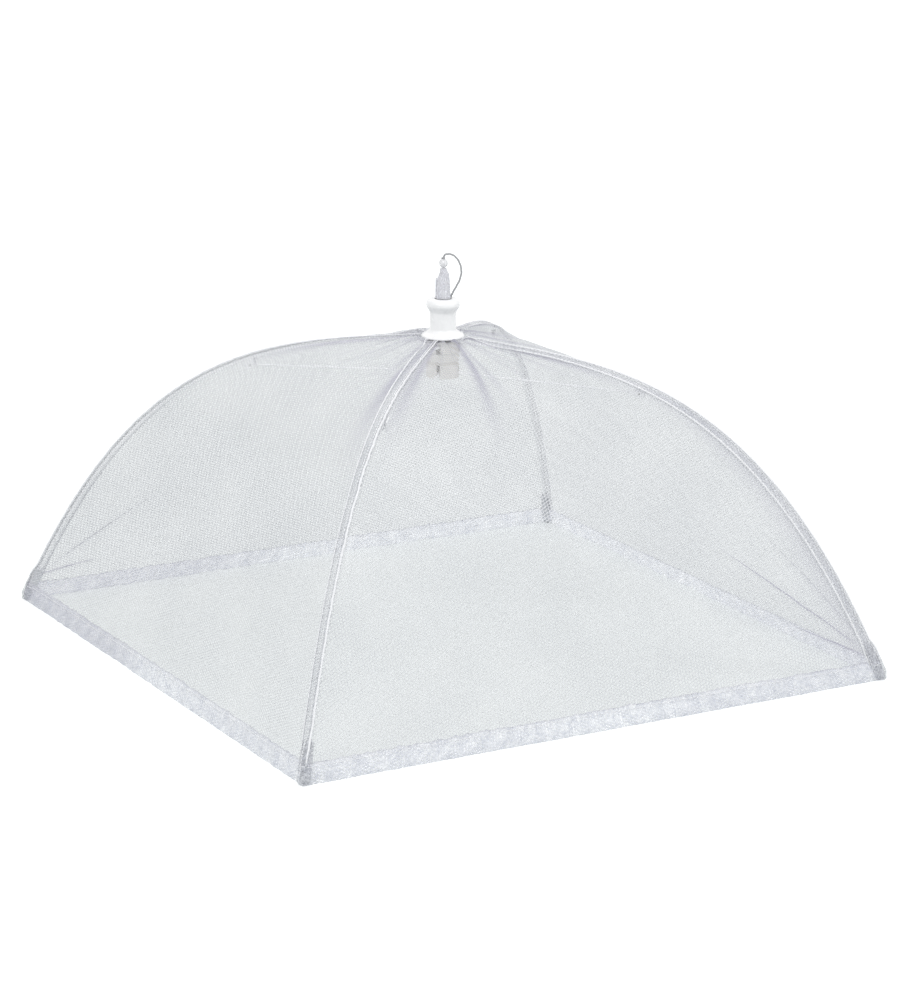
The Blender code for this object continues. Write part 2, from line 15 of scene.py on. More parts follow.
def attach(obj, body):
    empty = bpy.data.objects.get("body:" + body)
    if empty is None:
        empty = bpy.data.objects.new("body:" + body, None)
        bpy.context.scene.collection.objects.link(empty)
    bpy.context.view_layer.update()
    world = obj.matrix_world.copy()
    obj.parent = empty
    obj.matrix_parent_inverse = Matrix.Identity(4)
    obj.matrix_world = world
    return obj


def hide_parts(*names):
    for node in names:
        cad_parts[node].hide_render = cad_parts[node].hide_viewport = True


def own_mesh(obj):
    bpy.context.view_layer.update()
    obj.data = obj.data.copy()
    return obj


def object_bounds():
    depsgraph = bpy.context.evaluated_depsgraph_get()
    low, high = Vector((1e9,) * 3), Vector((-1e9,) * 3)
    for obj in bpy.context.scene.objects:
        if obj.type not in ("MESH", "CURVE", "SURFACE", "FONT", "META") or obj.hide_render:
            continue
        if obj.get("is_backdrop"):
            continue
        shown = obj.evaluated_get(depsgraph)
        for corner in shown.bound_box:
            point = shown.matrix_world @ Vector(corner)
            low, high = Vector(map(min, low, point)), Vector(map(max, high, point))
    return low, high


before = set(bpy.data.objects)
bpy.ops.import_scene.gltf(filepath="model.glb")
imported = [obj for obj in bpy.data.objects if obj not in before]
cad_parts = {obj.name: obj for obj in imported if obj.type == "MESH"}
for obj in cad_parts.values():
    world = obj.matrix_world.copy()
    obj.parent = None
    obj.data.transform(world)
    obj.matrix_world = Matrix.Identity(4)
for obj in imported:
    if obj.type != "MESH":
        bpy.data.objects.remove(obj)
cad_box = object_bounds()

# %% [markdown]
# The camera stands where the picture was taken: about 2.4 metres away and 16 degrees above the table,
# turned so that one corner points at it. A long lens keeps the square's sides nearly parallel.
# It could be aimed with a constraint, but three written directions are exact and easy to check. The last
# one is a roll of half a degree, because the camera was not held quite level.

# %% Place the camera
camera_turn = math.radians(-29.795)
camera_tilt = math.radians(15.594)
camera_roll = math.radians(0.571)
level_right = Vector((math.cos(camera_turn), math.sin(camera_turn), 0))
camera_back = Vector(
    (
        math.sin(camera_turn) * math.cos(camera_tilt),
        -math.cos(camera_turn) * math.cos(camera_tilt),
        math.sin(camera_tilt),
    )
)
level_up = camera_back.cross(level_right)
camera_right = level_right * math.cos(camera_roll) + level_up * math.sin(camera_roll)
camera_up = level_up * math.cos(camera_roll) - level_right * math.sin(camera_roll)
camera_data = bpy.data.cameras.new("picture camera")
camera_data.lens = 126
camera_data.sensor_width = 36
camera_data.clip_end = 100
camera = bpy.data.objects.new("picture camera", camera_data)
camera_frame = Matrix((camera_right, camera_up, camera_back)).transposed().to_4x4()
camera.matrix_world = Matrix.Translation((-1.1185, -1.9813, 0.7331)) @ camera_frame
bpy.context.scene.collection.objects.link(camera)
bpy.context.scene.camera = camera
print("camera is", round(camera.matrix_world.translation.length, 2), "m from the middle of the base")

# %% [markdown]
# Light and finishes are both worked out by small trees of shader nodes. They could be drawn in the node
# editor, but written down they are easier to repeat. A few short helpers write them, so that each tree
# reads like a sum on paper.

# %% Write nodes as sums
def feed(tree, value, socket):
    """Link another socket, or write down a plain number or colour."""
    if isinstance(value, bpy.types.NodeSocket):
        tree.links.new(value, socket)
    else:
        socket.default_value = value


def sum_of(tree, operation, *values, clamp=False):
    node = tree.nodes.new("ShaderNodeMath")
    node.operation = operation
    node.use_clamp = clamp
    for value, socket in zip(values, node.inputs):
        feed(tree, value, socket)
    return node.outputs[0]


def noise_of(tree, where, scale, detail, roughness=0.55):
    node = tree.nodes.new("ShaderNodeTexNoise")
    feed(tree, where, node.inputs["Vector"])
    feed(tree, scale, node.inputs["Scale"])
    node.inputs["Detail"].default_value = detail
    node.inputs["Roughness"].default_value = roughness
    return node.outputs["Fac"]


def between(tree, share, first, second):
    """A colour between two others."""
    node = tree.nodes.new("ShaderNodeMix")
    node.data_type = "RGBA"
    feed(tree, share, node.inputs["Factor"])
    feed(tree, first, node.inputs[6])
    feed(tree, second, node.inputs[7])
    return node.outputs[2]


def ranged(tree, value, low, high, to_low=0.0, to_high=1.0):
    node = tree.nodes.new("ShaderNodeMapRange")
    feed(tree, value, node.inputs["Value"])
    for label, number in (("From Min", low), ("From Max", high), ("To Min", to_low), ("To Max", to_high)):
        feed(tree, number, node.inputs[label])
    return node.outputs[0]

# %% [markdown]
# White cloth on a white table asks for even light: one broad lamp high on the left gives it form, a
# second one on the right and the bright room round it fill the shadows.
# The lamps stay weak, so that white paint renders just below pure white. The room itself looks pure white
# to the camera, but it gives less light than that, which leaves the cloth a little greyer than the room.

# %% Light the room
room = bpy.data.worlds.new("bright room")
bpy.context.scene.world = room
room.use_nodes = True
sky = room.node_tree
for node in list(sky.nodes):
    sky.nodes.remove(node)


def background(colour, strength):
    node = sky.nodes.new("ShaderNodeBackground")
    node.inputs["Color"].default_value = colour
    node.inputs["Strength"].default_value = strength
    return node.outputs[0]


seen = sky.nodes.new("ShaderNodeLightPath").outputs
seen_either = sum_of(sky, "ADD", seen["Is Camera Ray"], seen["Is Glossy Ray"])
seen_any = sum_of(sky, "ADD", seen_either, seen["Is Transmission Ray"], clamp=True)
either_room = sky.nodes.new("ShaderNodeMixShader")
feed(sky, seen_any, either_room.inputs[0])
feed(sky, background((0.97, 0.98, 1.0, 1), 0.68), either_room.inputs[1])
feed(sky, background((1, 1, 1, 1), 1.0), either_room.inputs[2])
room_out = sky.nodes.new("ShaderNodeOutputWorld")
sky.links.new(either_room.outputs[0], room_out.inputs["Surface"])
bpy.context.scene.view_settings.view_transform = "Standard"


def hang_lamp(name, place, size, watts):
    light = bpy.data.lights.new(name, "AREA")
    light.shape = "DISK"
    light.size = size
    light.energy = watts
    lamp = bpy.data.objects.new(name, light)
    toward = Vector((0, 0, 0.1)) - Vector(place)
    lamp.matrix_world = Matrix.Translation(place) @ toward.to_track_quat("-Z", "Y").to_matrix().to_4x4()
    bpy.context.scene.collection.objects.link(lamp)
    return lamp


lamps = [
    hang_lamp("broad lamp on the left", (-1.9, -1.1, 2.9), 1.6, 41),
    hang_lamp("weak lamp on the right", (1.8, -1.9, 2.7), 1.6, 34),
    hang_lamp("weak lamp behind", (0.6, 2.6, 2.2), 1.6, 12),
]
print("lamps:", [lamp.name for lamp in lamps])

# %% [markdown]
# The table is one wide disc of pale, faintly green grey. Its glow is only for the camera, it grows with the
# distance where the lamps no longer reach, and it nearly stops behind the net. So the table round the
# cover is white, and the table under the net keeps its own grey and the cover's soft shadow.

# %% Lay the table
table_radius = 9.0


def own_place(tree):
    """Where a point lies in its own object."""
    return tree.nodes.new("ShaderNodeTexCoord").outputs["Object"]


def table_mesh():
    bm = bmesh.new()
    bmesh.ops.create_circle(bm, cap_ends=True, segments=96, radius=table_radius)
    mesh = bpy.data.meshes.new("table")
    bm.to_mesh(mesh)
    bm.free()
    return mesh


table_paint = bpy.data.materials.new("pale table")
table_paint.use_nodes = True
table_tree = table_paint.node_tree
table_shader = table_tree.nodes["Principled BSDF"]
table_shader.inputs["Base Color"].default_value = (0.735, 0.76, 0.75, 1)
table_shader.inputs["Roughness"].default_value = 0.9
table_shader.inputs["Specular IOR Level"].default_value = 0.1
table_shader.inputs["Emission Color"].default_value = (1, 1, 1, 1)
table_path = table_tree.nodes.new("ShaderNodeLightPath").outputs
table_away = table_tree.nodes.new("ShaderNodeVectorMath")
table_away.operation = "LENGTH"
feed(table_tree, own_place(table_tree), table_away.inputs[0])
open_glow = ranged(table_tree, table_away.outputs["Value"], 0.5, 2.5, 0.38, 0.64)
netted_glow = ranged(table_tree, table_path["Transparent Depth"], 0.0, 1.0, open_glow, 0.06)
table_seen = sum_of(table_tree, "ADD", table_path["Is Camera Ray"], table_path["Is Glossy Ray"], clamp=True)
table_glow = sum_of(table_tree, "MULTIPLY", table_seen, netted_glow)
feed(table_tree, table_glow, table_shader.inputs["Emission Strength"])
table = bpy.data.objects.new("table", table_mesh())
table.data.materials.append(table_paint)
bpy.context.scene.collection.objects.link(table)
table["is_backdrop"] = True
print("the table is a disc", table_radius * 2, "m wide, so that it fills the picture")

# %% [markdown]
# Everything that follows is drawn from a few measurements, the same ones that the solid parts use.
# The net's outer face falls from the hub to the corners along one curve: a gentle straight slope at
# first, and a bow that comes late. One function for its height serves the net, the seams and the hems.

# %% Measure the net
half_side = 0.216
rise = 0.212
lean_share = 0.13
bow_power = 3.5
reach = half_side * math.sqrt(2)
net_top_radius = 0.01103
hub_top = 0.2373
diagonals = {"front": -135.0, "right": -45.0, "back": 45.0, "left": 135.0}


def net_height(radius):
    """Height of the net's outer face, at this distance from the middle along a diagonal."""
    t = radius / reach
    return rise * (1 - lean_share * t - (1 - lean_share) * t**bow_power)


def net_slope(radius):
    t = radius / reach
    return -rise / reach * (lean_share + (1 - lean_share) * bow_power * t ** (bow_power - 1))


def under_net(radius, depth):
    """A point in the diagonal plane this deep under the net's outer face."""
    normal = Vector((-net_slope(radius), 0, 1)).normalized()
    return Vector((radius, 0, net_height(radius))) - depth * normal


def where_down(height_of, height):
    """How far out along a diagonal a falling line comes down to this height."""
    low, high = 0.0, reach
    for _ in range(50):
        middle = (low + high) / 2
        low, high = (middle, high) if height_of(middle) > height else (low, middle)
    return low


def radius_at(height):
    return where_down(net_height, height)


def eased(low, high, value):
    """A share that goes smoothly from 0 at low to 1 at high."""
    share = max(0.0, min(1.0, (value - low) / (high - low)))
    return share * share * (3 - 2 * share)


print(f"the net falls {net_height(net_top_radius) * 1000:.0f} mm to the table")
print(f"on the way it goes {reach * 1000:.0f} mm out along a diagonal")

# %% [markdown]
# Three helpers make every piece: one links a mesh as a piece that rides on a body of the frame, one
# draws a tube along a row of points, and one turns a profile round an axis like a lathe.
# Curves and modifiers could do the last two, but plain rings of points keep every face in hand.

# %% Make pieces from meshes
def new_piece(name, mesh, finish, body):
    mesh.name = name
    mesh.materials.clear()
    mesh.materials.append(finish)
    mesh.shade_smooth()
    piece = bpy.data.objects.new(name, mesh)
    bpy.context.scene.collection.objects.link(piece)
    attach(piece, body)
    return piece


def mesh_of(points, faces, uvs=None):
    """A mesh from points and faces, with one UV pair a point where they are given."""
    mesh = bpy.data.meshes.new("piece")
    mesh.from_pydata([tuple(point) for point in points], [], faces)
    if uvs:
        layer = mesh.uv_layers.new(name="cloth")
        for loop in mesh.loops:
            layer.data[loop.index].uv = uvs[loop.vertex_index]
    mesh.validate()
    return mesh


def turned(degrees):
    """A turn about the middle axis."""
    return Matrix.Rotation(math.radians(degrees), 4, "Z")


# %% Draw tubes along a line
def tube_rings(points, ring):
    """Rings of points round a line; ring(i, share) gives each one's own offsets across the line."""
    start = (points[1] - points[0]).normalized()
    side = start.orthogonal().normalized()
    rings = []
    for i, point in enumerate(points):
        ahead = points[min(i + 1, len(points) - 1)] - points[max(i - 1, 0)]
        ahead.normalize()
        side = (side - side.dot(ahead) * ahead).normalized()
        other = ahead.cross(side)
        rings.append([point + side * a + other * b for a, b in ring(i, i / (len(points) - 1))])
    return rings


def tube(points, ring):
    """A closed tube with UVs in metres: along the tube, and round it."""
    rings = tube_rings(points, ring)
    count = len(rings[0])
    corners = [corner for one in rings for corner in one]
    run = [0.0]
    for i in range(1, len(points)):
        run.append(run[-1] + (points[i] - points[i - 1]).length)
    faces = []
    for i in range(len(rings) - 1):
        for k in range(count):
            here, there = i * count, (i + 1) * count
            faces.append((here + k, here + (k + 1) % count, there + (k + 1) % count, there + k))
    faces.append(tuple(reversed(range(count))))
    faces.append(tuple(range((len(rings) - 1) * count, len(rings) * count)))
    uvs = [(run[i], k / count) for i in range(len(rings)) for k in range(count)]
    return mesh_of(corners, faces, uvs)


def round_ring(radius, count):
    angles = [2 * math.pi * k / count for k in range(count)]
    ring = [(radius * math.cos(angle), radius * math.sin(angle)) for angle in angles]
    return lambda i, share: ring


# %% Turn profiles on a lathe
def lathe(profile, steps, wave=None):
    """A closed solid turned about Z. The profile is a closed loop of (radius, height)."""
    points = []
    for radius, height in profile:
        for k in range(steps):
            angle = 2 * math.pi * k / steps
            out = radius + (wave(radius, height, angle) if wave else 0.0)
            points.append((out * math.cos(angle), out * math.sin(angle), height))
    faces = []
    for i in range(len(profile)):
        here, there = i * steps, (i + 1) % len(profile) * steps
        for k in range(steps):
            faces.append((here + k, here + (k + 1) % steps, there + (k + 1) % steps, there + k))
    mesh = mesh_of(points, faces)
    bm = bmesh.new()
    bm.from_mesh(mesh)
    bmesh.ops.remove_doubles(bm, verts=bm.verts, dist=0.000002)
    bmesh.ops.recalc_face_normals(bm, faces=bm.faces)
    bm.to_mesh(mesh)
    bm.free()
    return mesh


def arc(centre, radius, start, end, count):
    """Points of a rounded edge in a profile, from one angle to another in degrees."""
    points = []
    for i in range(count + 1):
        angle = math.radians(start + (end - start) * i / count)
        points.append((centre[0] + radius * math.cos(angle), centre[1] + radius * math.sin(angle)))
    return points


# %% [markdown]
# Finishes are built from node groups that many materials share. A group works out a colour, a mask or a
# height that changes over the surface, and the material's own shader uses it. The inputs of a group have
# names in plain words, so that placing one in a material reads like a sentence.

# %% Make and place node groups
def new_group(name, inputs, outputs):
    group = bpy.data.node_groups.new(name, "ShaderNodeTree")
    for label, kind, value in inputs:
        socket = group.interface.new_socket(name=label, in_out="INPUT", socket_type=kind)
        if value is not None:
            socket.default_value = value
    for label, kind in outputs:
        group.interface.new_socket(name=label, in_out="OUTPUT", socket_type=kind)
    return group, group.nodes.new("NodeGroupInput").outputs, group.nodes.new("NodeGroupOutput").inputs


def place_group(tree, group, **values):
    node = tree.nodes.new("ShaderNodeGroup")
    node.node_tree = group
    for label, value in values.items():
        feed(tree, value, node.inputs[label.replace("_", " ").capitalize()])
    return node.outputs


# %% [markdown]
# The net is knitted. Its holes are small hexagons that stand over each other every 2 mm, in columns that
# are a little more than 2 mm apart. One slanting thread of each cell is heavier than the others.
# Modelling a hundred thousand holes would choke any machine, so they are a mask on one smooth sheet.
# Two grids of cells, half a cell apart, give the distance to the nearest thread at every point, and the
# sheet's own UVs are in metres, so the holes keep their size from the hub to the hem. A thread is loosely
# spun and lets some light through, so the mask is soft: fullest in the middle of a thread.

# %% Knit the hexagonal net
FLOAT, COLOUR, VECTOR = "NodeSocketFloat", "NodeSocketColor", "NodeSocketVector"


def make_net_group():
    group, given, result = new_group(
        "hexagonal net",
        [
            ("Cloth", VECTOR, None),
            ("Hole height", FLOAT, 0.0021),
            ("Column width", FLOAT, 0.0022),
            ("Thread", FLOAT, 0.36),
            ("Lean", FLOAT, -0.06),
        ],
        [("Cover", FLOAT), ("Height", FLOAT)],
    )
    split = group.nodes.new("ShaderNodeSeparateXYZ")
    group.links.new(given["Cloth"], split.inputs[0])
    up = sum_of(group, "DIVIDE", split.outputs[1], given["Hole height"])
    along = sum_of(group, "DIVIDE", split.outputs[0], sum_of(group, "MULTIPLY", given["Column width"], 2.0))
    spans = []
    for shift in (0.0, 0.5):
        a = sum_of(group, "SUBTRACT", sum_of(group, "FRACT", sum_of(group, "SUBTRACT", up, shift)), 0.5)
        b = sum_of(group, "SUBTRACT", sum_of(group, "FRACT", sum_of(group, "SUBTRACT", along, shift)), 0.5)
        leaning = sum_of(group, "SIGN", sum_of(group, "MULTIPLY", a, b))
        a = sum_of(group, "ABSOLUTE", a)
        b = sum_of(group, "MULTIPLY", sum_of(group, "ABSOLUTE", b), 1.5)
        slant = sum_of(group, "ADD", sum_of(group, "MULTIPLY", a, 0.5), b)
        slant = sum_of(group, "ADD", slant, sum_of(group, "MULTIPLY", leaning, given["Lean"]))
        spans.append(sum_of(group, "MAXIMUM", a, slant))
    inset = sum_of(group, "SUBTRACT", 0.5, sum_of(group, "MINIMUM", *spans))
    share = sum_of(group, "DIVIDE", inset, sum_of(group, "MULTIPLY", given["Thread"], 0.5), clamp=True)
    crown = sum_of(group, "SUBTRACT", 1.0, sum_of(group, "MULTIPLY", share, share), clamp=True)
    group.links.new(sum_of(group, "SQRT", crown), result["Cover"])
    group.links.new(crown, result["Height"])
    return group


net_group = make_net_group()
print("the net group has", len(net_group.nodes), "nodes")

# %% [markdown]
# Cloth is never one even white. A shared group tints it: threads turn a little bluish and greyer where
# they are thin or a little soiled, and their thickness changes slowly over the sheet.
# Real threads are so thin that light from behind soaks through them. A flat sheet can't do that, so the
# net's finish adds a faint painted glow of the cloth's own colour in its place, set by one number.

# %% Tint the cloth
def make_cloth_tint_group():
    group, given, result = new_group(
        "cloth tint",
        [
            ("Cloth", VECTOR, None),
            ("Light", COLOUR, (0.88, 0.89, 0.91, 1)),
            ("Dark", COLOUR, (0.72, 0.74, 0.79, 1)),
            ("Thread", FLOAT, 0.36),
            ("Change", FLOAT, 0.12),
            ("Speckle", FLOAT, 0.4),
            ("Patches", FLOAT, 14.0),
        ],
        [("Colour", COLOUR), ("Thread", FLOAT)],
    )
    broad = noise_of(group, given["Cloth"], given["Patches"], 2.0)
    fine = noise_of(group, given["Cloth"], 420.0, 1.0)
    mixed = between(group, given["Speckle"], broad, fine)
    colour = between(group, ranged(group, mixed, 0.35, 0.65), given["Dark"], given["Light"])
    group.links.new(colour, result["Colour"])
    most = sum_of(group, "MULTIPLY", given["Change"], 2.0)
    swing = sum_of(group, "MULTIPLY", sum_of(group, "SUBTRACT", broad, 0.5), most)
    thread = sum_of(group, "MULTIPLY", given["Thread"], sum_of(group, "ADD", swing, 1.0))
    group.links.new(thread, result["Thread"])
    return group


cloth_tint_group = make_cloth_tint_group()


def new_finish(name, roughness, **constants):
    """A material with its Principled shader, whose plain values are set on the shader's own sockets."""
    material = bpy.data.materials.new(name)
    material.use_nodes = True
    tree = material.node_tree
    shader = tree.nodes["Principled BSDF"]
    shader.inputs["Roughness"].default_value = roughness
    for label, value in constants.items():
        shader.inputs[label.replace("_", " ").title()].default_value = value
    return material, tree, shader


def cloth_metres(tree, shift=(0, 0, 0), turn=0.0):
    """The cloth's own UVs in metres, moved and turned for a second layer."""
    uv = tree.nodes.new("ShaderNodeUVMap")
    uv.uv_map = "cloth"
    mapping = tree.nodes.new("ShaderNodeMapping")
    mapping.inputs["Location"].default_value = shift
    mapping.inputs["Rotation"].default_value = (0, 0, turn)
    tree.links.new(uv.outputs[0], mapping.inputs[0])
    return mapping.outputs[0]


fine_relief = 0.0001


def add_bump(tree, shader, height, distance):
    bump = tree.nodes.new("ShaderNodeBump")
    bump.inputs["Distance"].default_value = distance
    feed(tree, height, bump.inputs["Height"])
    tree.links.new(bump.outputs[0], shader.inputs["Normal"])


def net_finish(name, layers, thread, light, dark, shaded, cover=0.75, speckle=0.4, patches=14.0, painted_glow=0.0):
    """White net of one or more layers that lie on each other, with see-through holes."""
    material, tree, shader = new_finish(name, 0.62, sheen_weight=0.15, emission_strength=painted_glow)
    tint = place_group(
        tree,
        cloth_tint_group,
        cloth=cloth_metres(tree),
        light=light,
        dark=dark,
        thread=thread,
        speckle=speckle,
        patches=patches,
    )
    # Painted shade: where a point is marked gathered, the colour goes over to the shaded one, and the net
    # grows denser.
    gathered_and_shaded = tree.nodes.new("ShaderNodeAttribute")
    gathered_and_shaded.attribute_name = "gathered_and_shaded"
    colour = between(tree, gathered_and_shaded.outputs["Fac"], tint["Colour"], shaded)
    tree.links.new(colour, shader.inputs["Base Color"])
    # Painted glow: the cloth also glows faintly in its own colour.
    tree.links.new(colour, shader.inputs["Emission Color"])
    bare = sum_of(tree, "SUBTRACT", 1.0, sum_of(tree, "MULTIPLY", gathered_and_shaded.outputs["Fac"], 0.5), clamp=True)
    height = None
    for shift, turn in layers:
        net = place_group(tree, net_group, cloth=cloth_metres(tree, shift, turn), thread=tint["Thread"])
        hole = sum_of(tree, "SUBTRACT", 1.0, sum_of(tree, "MULTIPLY", net["Cover"], cover))
        bare = sum_of(tree, "MULTIPLY", bare, hole)
        height = net["Height"] if height is None else sum_of(tree, "MAXIMUM", height, net["Height"])
    light_path = tree.nodes.new("ShaderNodeLightPath")
    passing = ranged(tree, light_path.outputs["Is Shadow Ray"], 0.0, 1.0, 1.0, 0.4)
    shown = sum_of(tree, "MULTIPLY", sum_of(tree, "SUBTRACT", 1.0, bare), passing)
    tree.links.new(shown, shader.inputs["Alpha"])
    add_bump(tree, shader, height, 0.00025)
    return material


net_light = (0.70, 0.705, 0.72, 1)
net_dark = (0.54, 0.55, 0.58, 1)
# The colour of the painted shade in folds, tucks and creases.
net_shaded = (0.33, 0.32, 0.40, 1)
one_layer = [((0, 0, 0), 0.0)]
turned_layer = [((0.0009, 0.0006, 0), 0.74)]
two_layers = [((0, 0, 0), 0.0), ((0.0009, 0.0006, 0), 0.11)]
net_cloth = net_finish("white net", one_layer, 0.36, net_light, net_dark, net_shaded, painted_glow=0.17)
hem_light = (0.91, 0.915, 0.925, 1)
hem_dark = (0.50, 0.52, 0.59, 1)
seam_net = net_finish("seam net", turned_layer, 0.36, hem_light, hem_dark, net_shaded, cover=0.42)
hem_look = {"cover": 0.55, "speckle": 0.5, "patches": 110.0}
hem_net = net_finish("hem net", two_layers, 0.38, hem_light, hem_dark, net_shaded, **hem_look)
# The hem's inner layer has a stronger painted glow than its outer one, which lifts its shaded side.
hem_lining_with_glow = net_finish(
    "hem lining",
    two_layers,
    0.38,
    hem_light,
    hem_dark,
    net_shaded,
    painted_glow=0.50,
    **hem_look,
)
print("net finishes:", net_cloth.name, seam_net.name, hem_net.name, hem_lining_with_glow.name)

# %% [markdown]
# Each gore is a trapezium of net, sewn to its neighbours over the ribs. It hangs in a little between
# them, and small folds run from the hub, where the cloth is gathered, and from the corners.
# A cloth simulation would find such folds by itself, but a net pulled tight over wire has few, and they
# are easier to place one by one: long soft ridges that fade as they leave the hub or the corner. Round the
# hub the cloth puffs up a little against the flange, and fine tucks run down from there.
# Where cloth is gathered, its threads lie closer, and the finish paints it darker there with shade. A
# number kept at each point tells the net's finish how much. A gore is made as two halves, because each
# half folds down with its own rib.

# %% Shape a gore
cloth_depth = 0.0004
flange_edge = 0.0149
hem_height = 0.012
hem_radius = radius_at(hem_height)

# Each line has its share across the gore at the hub and at its foot, its length, width and strength.
tuck_lines = {
    "front_right": [
        (-0.86, -0.90, 0.56, 0.085, 0.9),
        (-0.14, -0.20, 0.60, 0.045, 1.0),
        (-0.10, -0.02, 0.52, 0.040, 0.6),
        (0.22, 0.26, 0.42, 0.050, 0.5),
        (0.52, 0.60, 0.40, 0.060, 0.8),
        (0.80, 0.86, 0.50, 0.080, 0.9),
        (0.93, 0.96, 1.50, 0.070, 0.4),
    ],
    "front_left": [
        (0.84, 0.80, 0.62, 0.110, 1.0),
        (0.50, 0.58, 0.36, 0.070, 0.7),
        (0.12, 0.06, 0.30, 0.060, 0.6),
        (-0.34, -0.40, 0.34, 0.070, 0.8),
        (-0.82, -0.86, 0.50, 0.090, 0.9),
    ],
    "back_right": [
        (-0.84, -0.88, 0.56, 0.090, 1.0),
        (-0.93, -0.96, 1.50, 0.070, 0.4),
        (-0.44, -0.40, 0.40, 0.070, 0.8),
        (0.05, 0.12, 0.36, 0.060, 0.7),
        (0.46, 0.52, 0.44, 0.070, 0.8),
        (0.84, 0.88, 0.52, 0.090, 0.9),
    ],
    "back_left": [
        (-0.84, -0.86, 0.60, 0.100, 1.0),
        (-0.30, -0.36, 0.44, 0.060, 0.7),
        (0.18, 0.22, 0.36, 0.060, 0.6),
        (0.60, 0.66, 0.42, 0.070, 0.9),
        (0.86, 0.88, 0.50, 0.080, 0.9),
    ],
}
gore_seeds = {"front_right": 1.0, "back_right": 2.6, "back_left": 4.1, "front_left": 5.3}
seed_gores = {seed: gore for gore, seed in gore_seeds.items()}


def tucked(radius, share, seed):
    """Folds and fine tucks that run down from the hub, from 0 between them to 1 on one."""
    t = radius / reach
    most = 0.0
    for top, foot, length, width, strength in tuck_lines[seed_gores[seed]]:
        at = top + (foot - top) * min(1.0, t / length)
        off = (share - at) / width
        most = max(most, strength * math.exp(-off * off) * (1 - eased(length * 0.45, length * 1.1, t)))
    # Thirteen finer tucks lie between those, uneven in place, width and length.
    for n in range(13):
        at = -0.92 + 0.15 * n + 0.06 * math.sin(seed * 3.1 + n * 2.3)
        off = (share - at) / (0.020 + 0.010 * math.sin(seed * 1.3 + n * 4.1))
        length = 0.20 + 0.10 * math.sin(seed * 5.7 + n * 1.7)
        most = max(most, 0.55 * math.exp(-off * off) * math.exp(-((t / length) ** 4)))
    return most


def from_middle(radius, share):
    """How far a point of a gore is from the middle axis."""
    return radius / math.sqrt(2) * math.hypot(1, share)


def fold_depth(radius, share, seed):
    """How far the small folds lift the cloth, at a share across the gore from -1 to 1."""
    t = radius / reach
    near_hub = math.exp(-(((t - 0.2) / 0.2) ** 2))
    pleat = math.sin(share * 11.0 + seed * 2.1) + 0.6 * math.sin(share * 19.0 + seed * 4.7)
    drift = noise.noise(Vector((share * 1.6, t * 2.4, seed * 3.3)))
    away = from_middle(radius, share)
    puff = eased(flange_edge, 0.0185, away) * (1 - eased(0.020, 0.050, away))
    puff *= 0.8 + 0.2 * math.sin(share * 9 + seed)
    tuck = tucked(radius, share, seed) * eased(flange_edge, 0.022, away)
    tied = 1 - share * share
    return tied * (
        0.0013 * near_hub * pleat
        + 0.0022 * drift * math.sin(math.pi * min(1.0, t))
        + 0.0034 * puff
        + 0.0014 * tuck
    )


print(f"the cloth puffs up {fold_depth(0.0275, 0.0, 1.0) * 1000:.1f} mm beside the flange")

# %% [markdown]
# A cover that is kept folded in a drawer comes out creased. The creases run up into the cloth from its
# corners, where it was doubled over. Each is given by its two ends, in metres across and up its gore,
# and lifts the cloth in a low ridge that fades at both ends.

# %% Crease the corners
crease_start = 0.2
crease_ends = {
    "front_right": [((0.196, 0.026), (0.108, 0.095)), ((0.201, 0.018), (0.150, 0.043))],
    "back_right": [((-0.198, 0.024), (-0.110, 0.082))],
    "back_left": [((0.198, 0.024), (0.124, 0.074))],
    "front_left": [((-0.199, 0.022), (-0.130, 0.050))],
}


def creased(radius, share, seed, width):
    """How near a point is to a crease of its gore, from 0 to 1, in metres across and up."""
    place = Vector((share * radius / math.sqrt(2), net_height(radius)))
    most = 0.0
    for start, end in crease_ends[seed_gores[seed]]:
        line = Vector(end) - Vector(start)
        along = (place - Vector(start)).dot(line) / line.length_squared
        if -0.1 < along < 1.1:
            off = (place - Vector(start) - line * along).length
            fade = eased(-0.1, 0.1, along) * (1 - eased(0.45, 1.1, along))
            most = max(most, fade * math.exp(-((off / width) ** 2)))
    return most


def crease_lift(radius, share, seed):
    """A low ridge with a finer groove along its top."""
    if radius < crease_start:
        return 0.0
    ridge = 0.0014 * creased(radius, share, seed, 0.006)
    groove = 0.0006 * creased(radius, share, seed, 0.002)
    return (ridge - groove) * (1 - share**8)


def how_gathered_and_shaded(radius, share, seed):
    """How dense the threads lie and how dark the painted shade is, from 0 in open cloth to 1 at most."""
    away = from_middle(radius, share)
    mottled = noise.noise(Vector((share * radius * 180, radius * 180, seed)))
    # Painted shade: darker near the hub, in the tucks and along the creases.
    near = 0.10 * (1 - eased(0.015, 0.040, away)) * (0.75 + 0.5 * mottled)
    crease = creased(radius, share, seed, 0.0022) if radius > crease_start else 0.0
    return max(0.0, min(1.0, near + tucked(radius, share, seed) + 0.25 * crease))


print("creases in the corners:", sum(len(ends) for ends in crease_ends.values()))

# %% Place a point of a gore
def gore_point(radius, share, seed, depth=cloth_depth):
    """A point of the gore that faces -Y: share runs from -1 at its left rib to 1 at its right rib."""
    half = radius / math.sqrt(2)
    steep = net_slope(radius) * math.sqrt(2)
    normal = Vector((0, steep, 1)).normalized()
    slack = 0.045 * max(0.0, half - 0.0078) * (1 - (radius / reach) ** 4)
    point = Vector((share * half, -half + slack * (1 - share * share), net_height(radius)))
    lift = fold_depth(radius, share, seed) + crease_lift(radius, share, seed)
    return point + normal * (lift - depth)


def run_down(radii):
    """The length of cloth above each of these radii, down the middle of a gore."""
    run = [0.0]
    for a, b in zip(radii, radii[1:]):
        run.append(run[-1] + math.hypot((b - a) / math.sqrt(2), net_height(b) - net_height(a)))
    return run


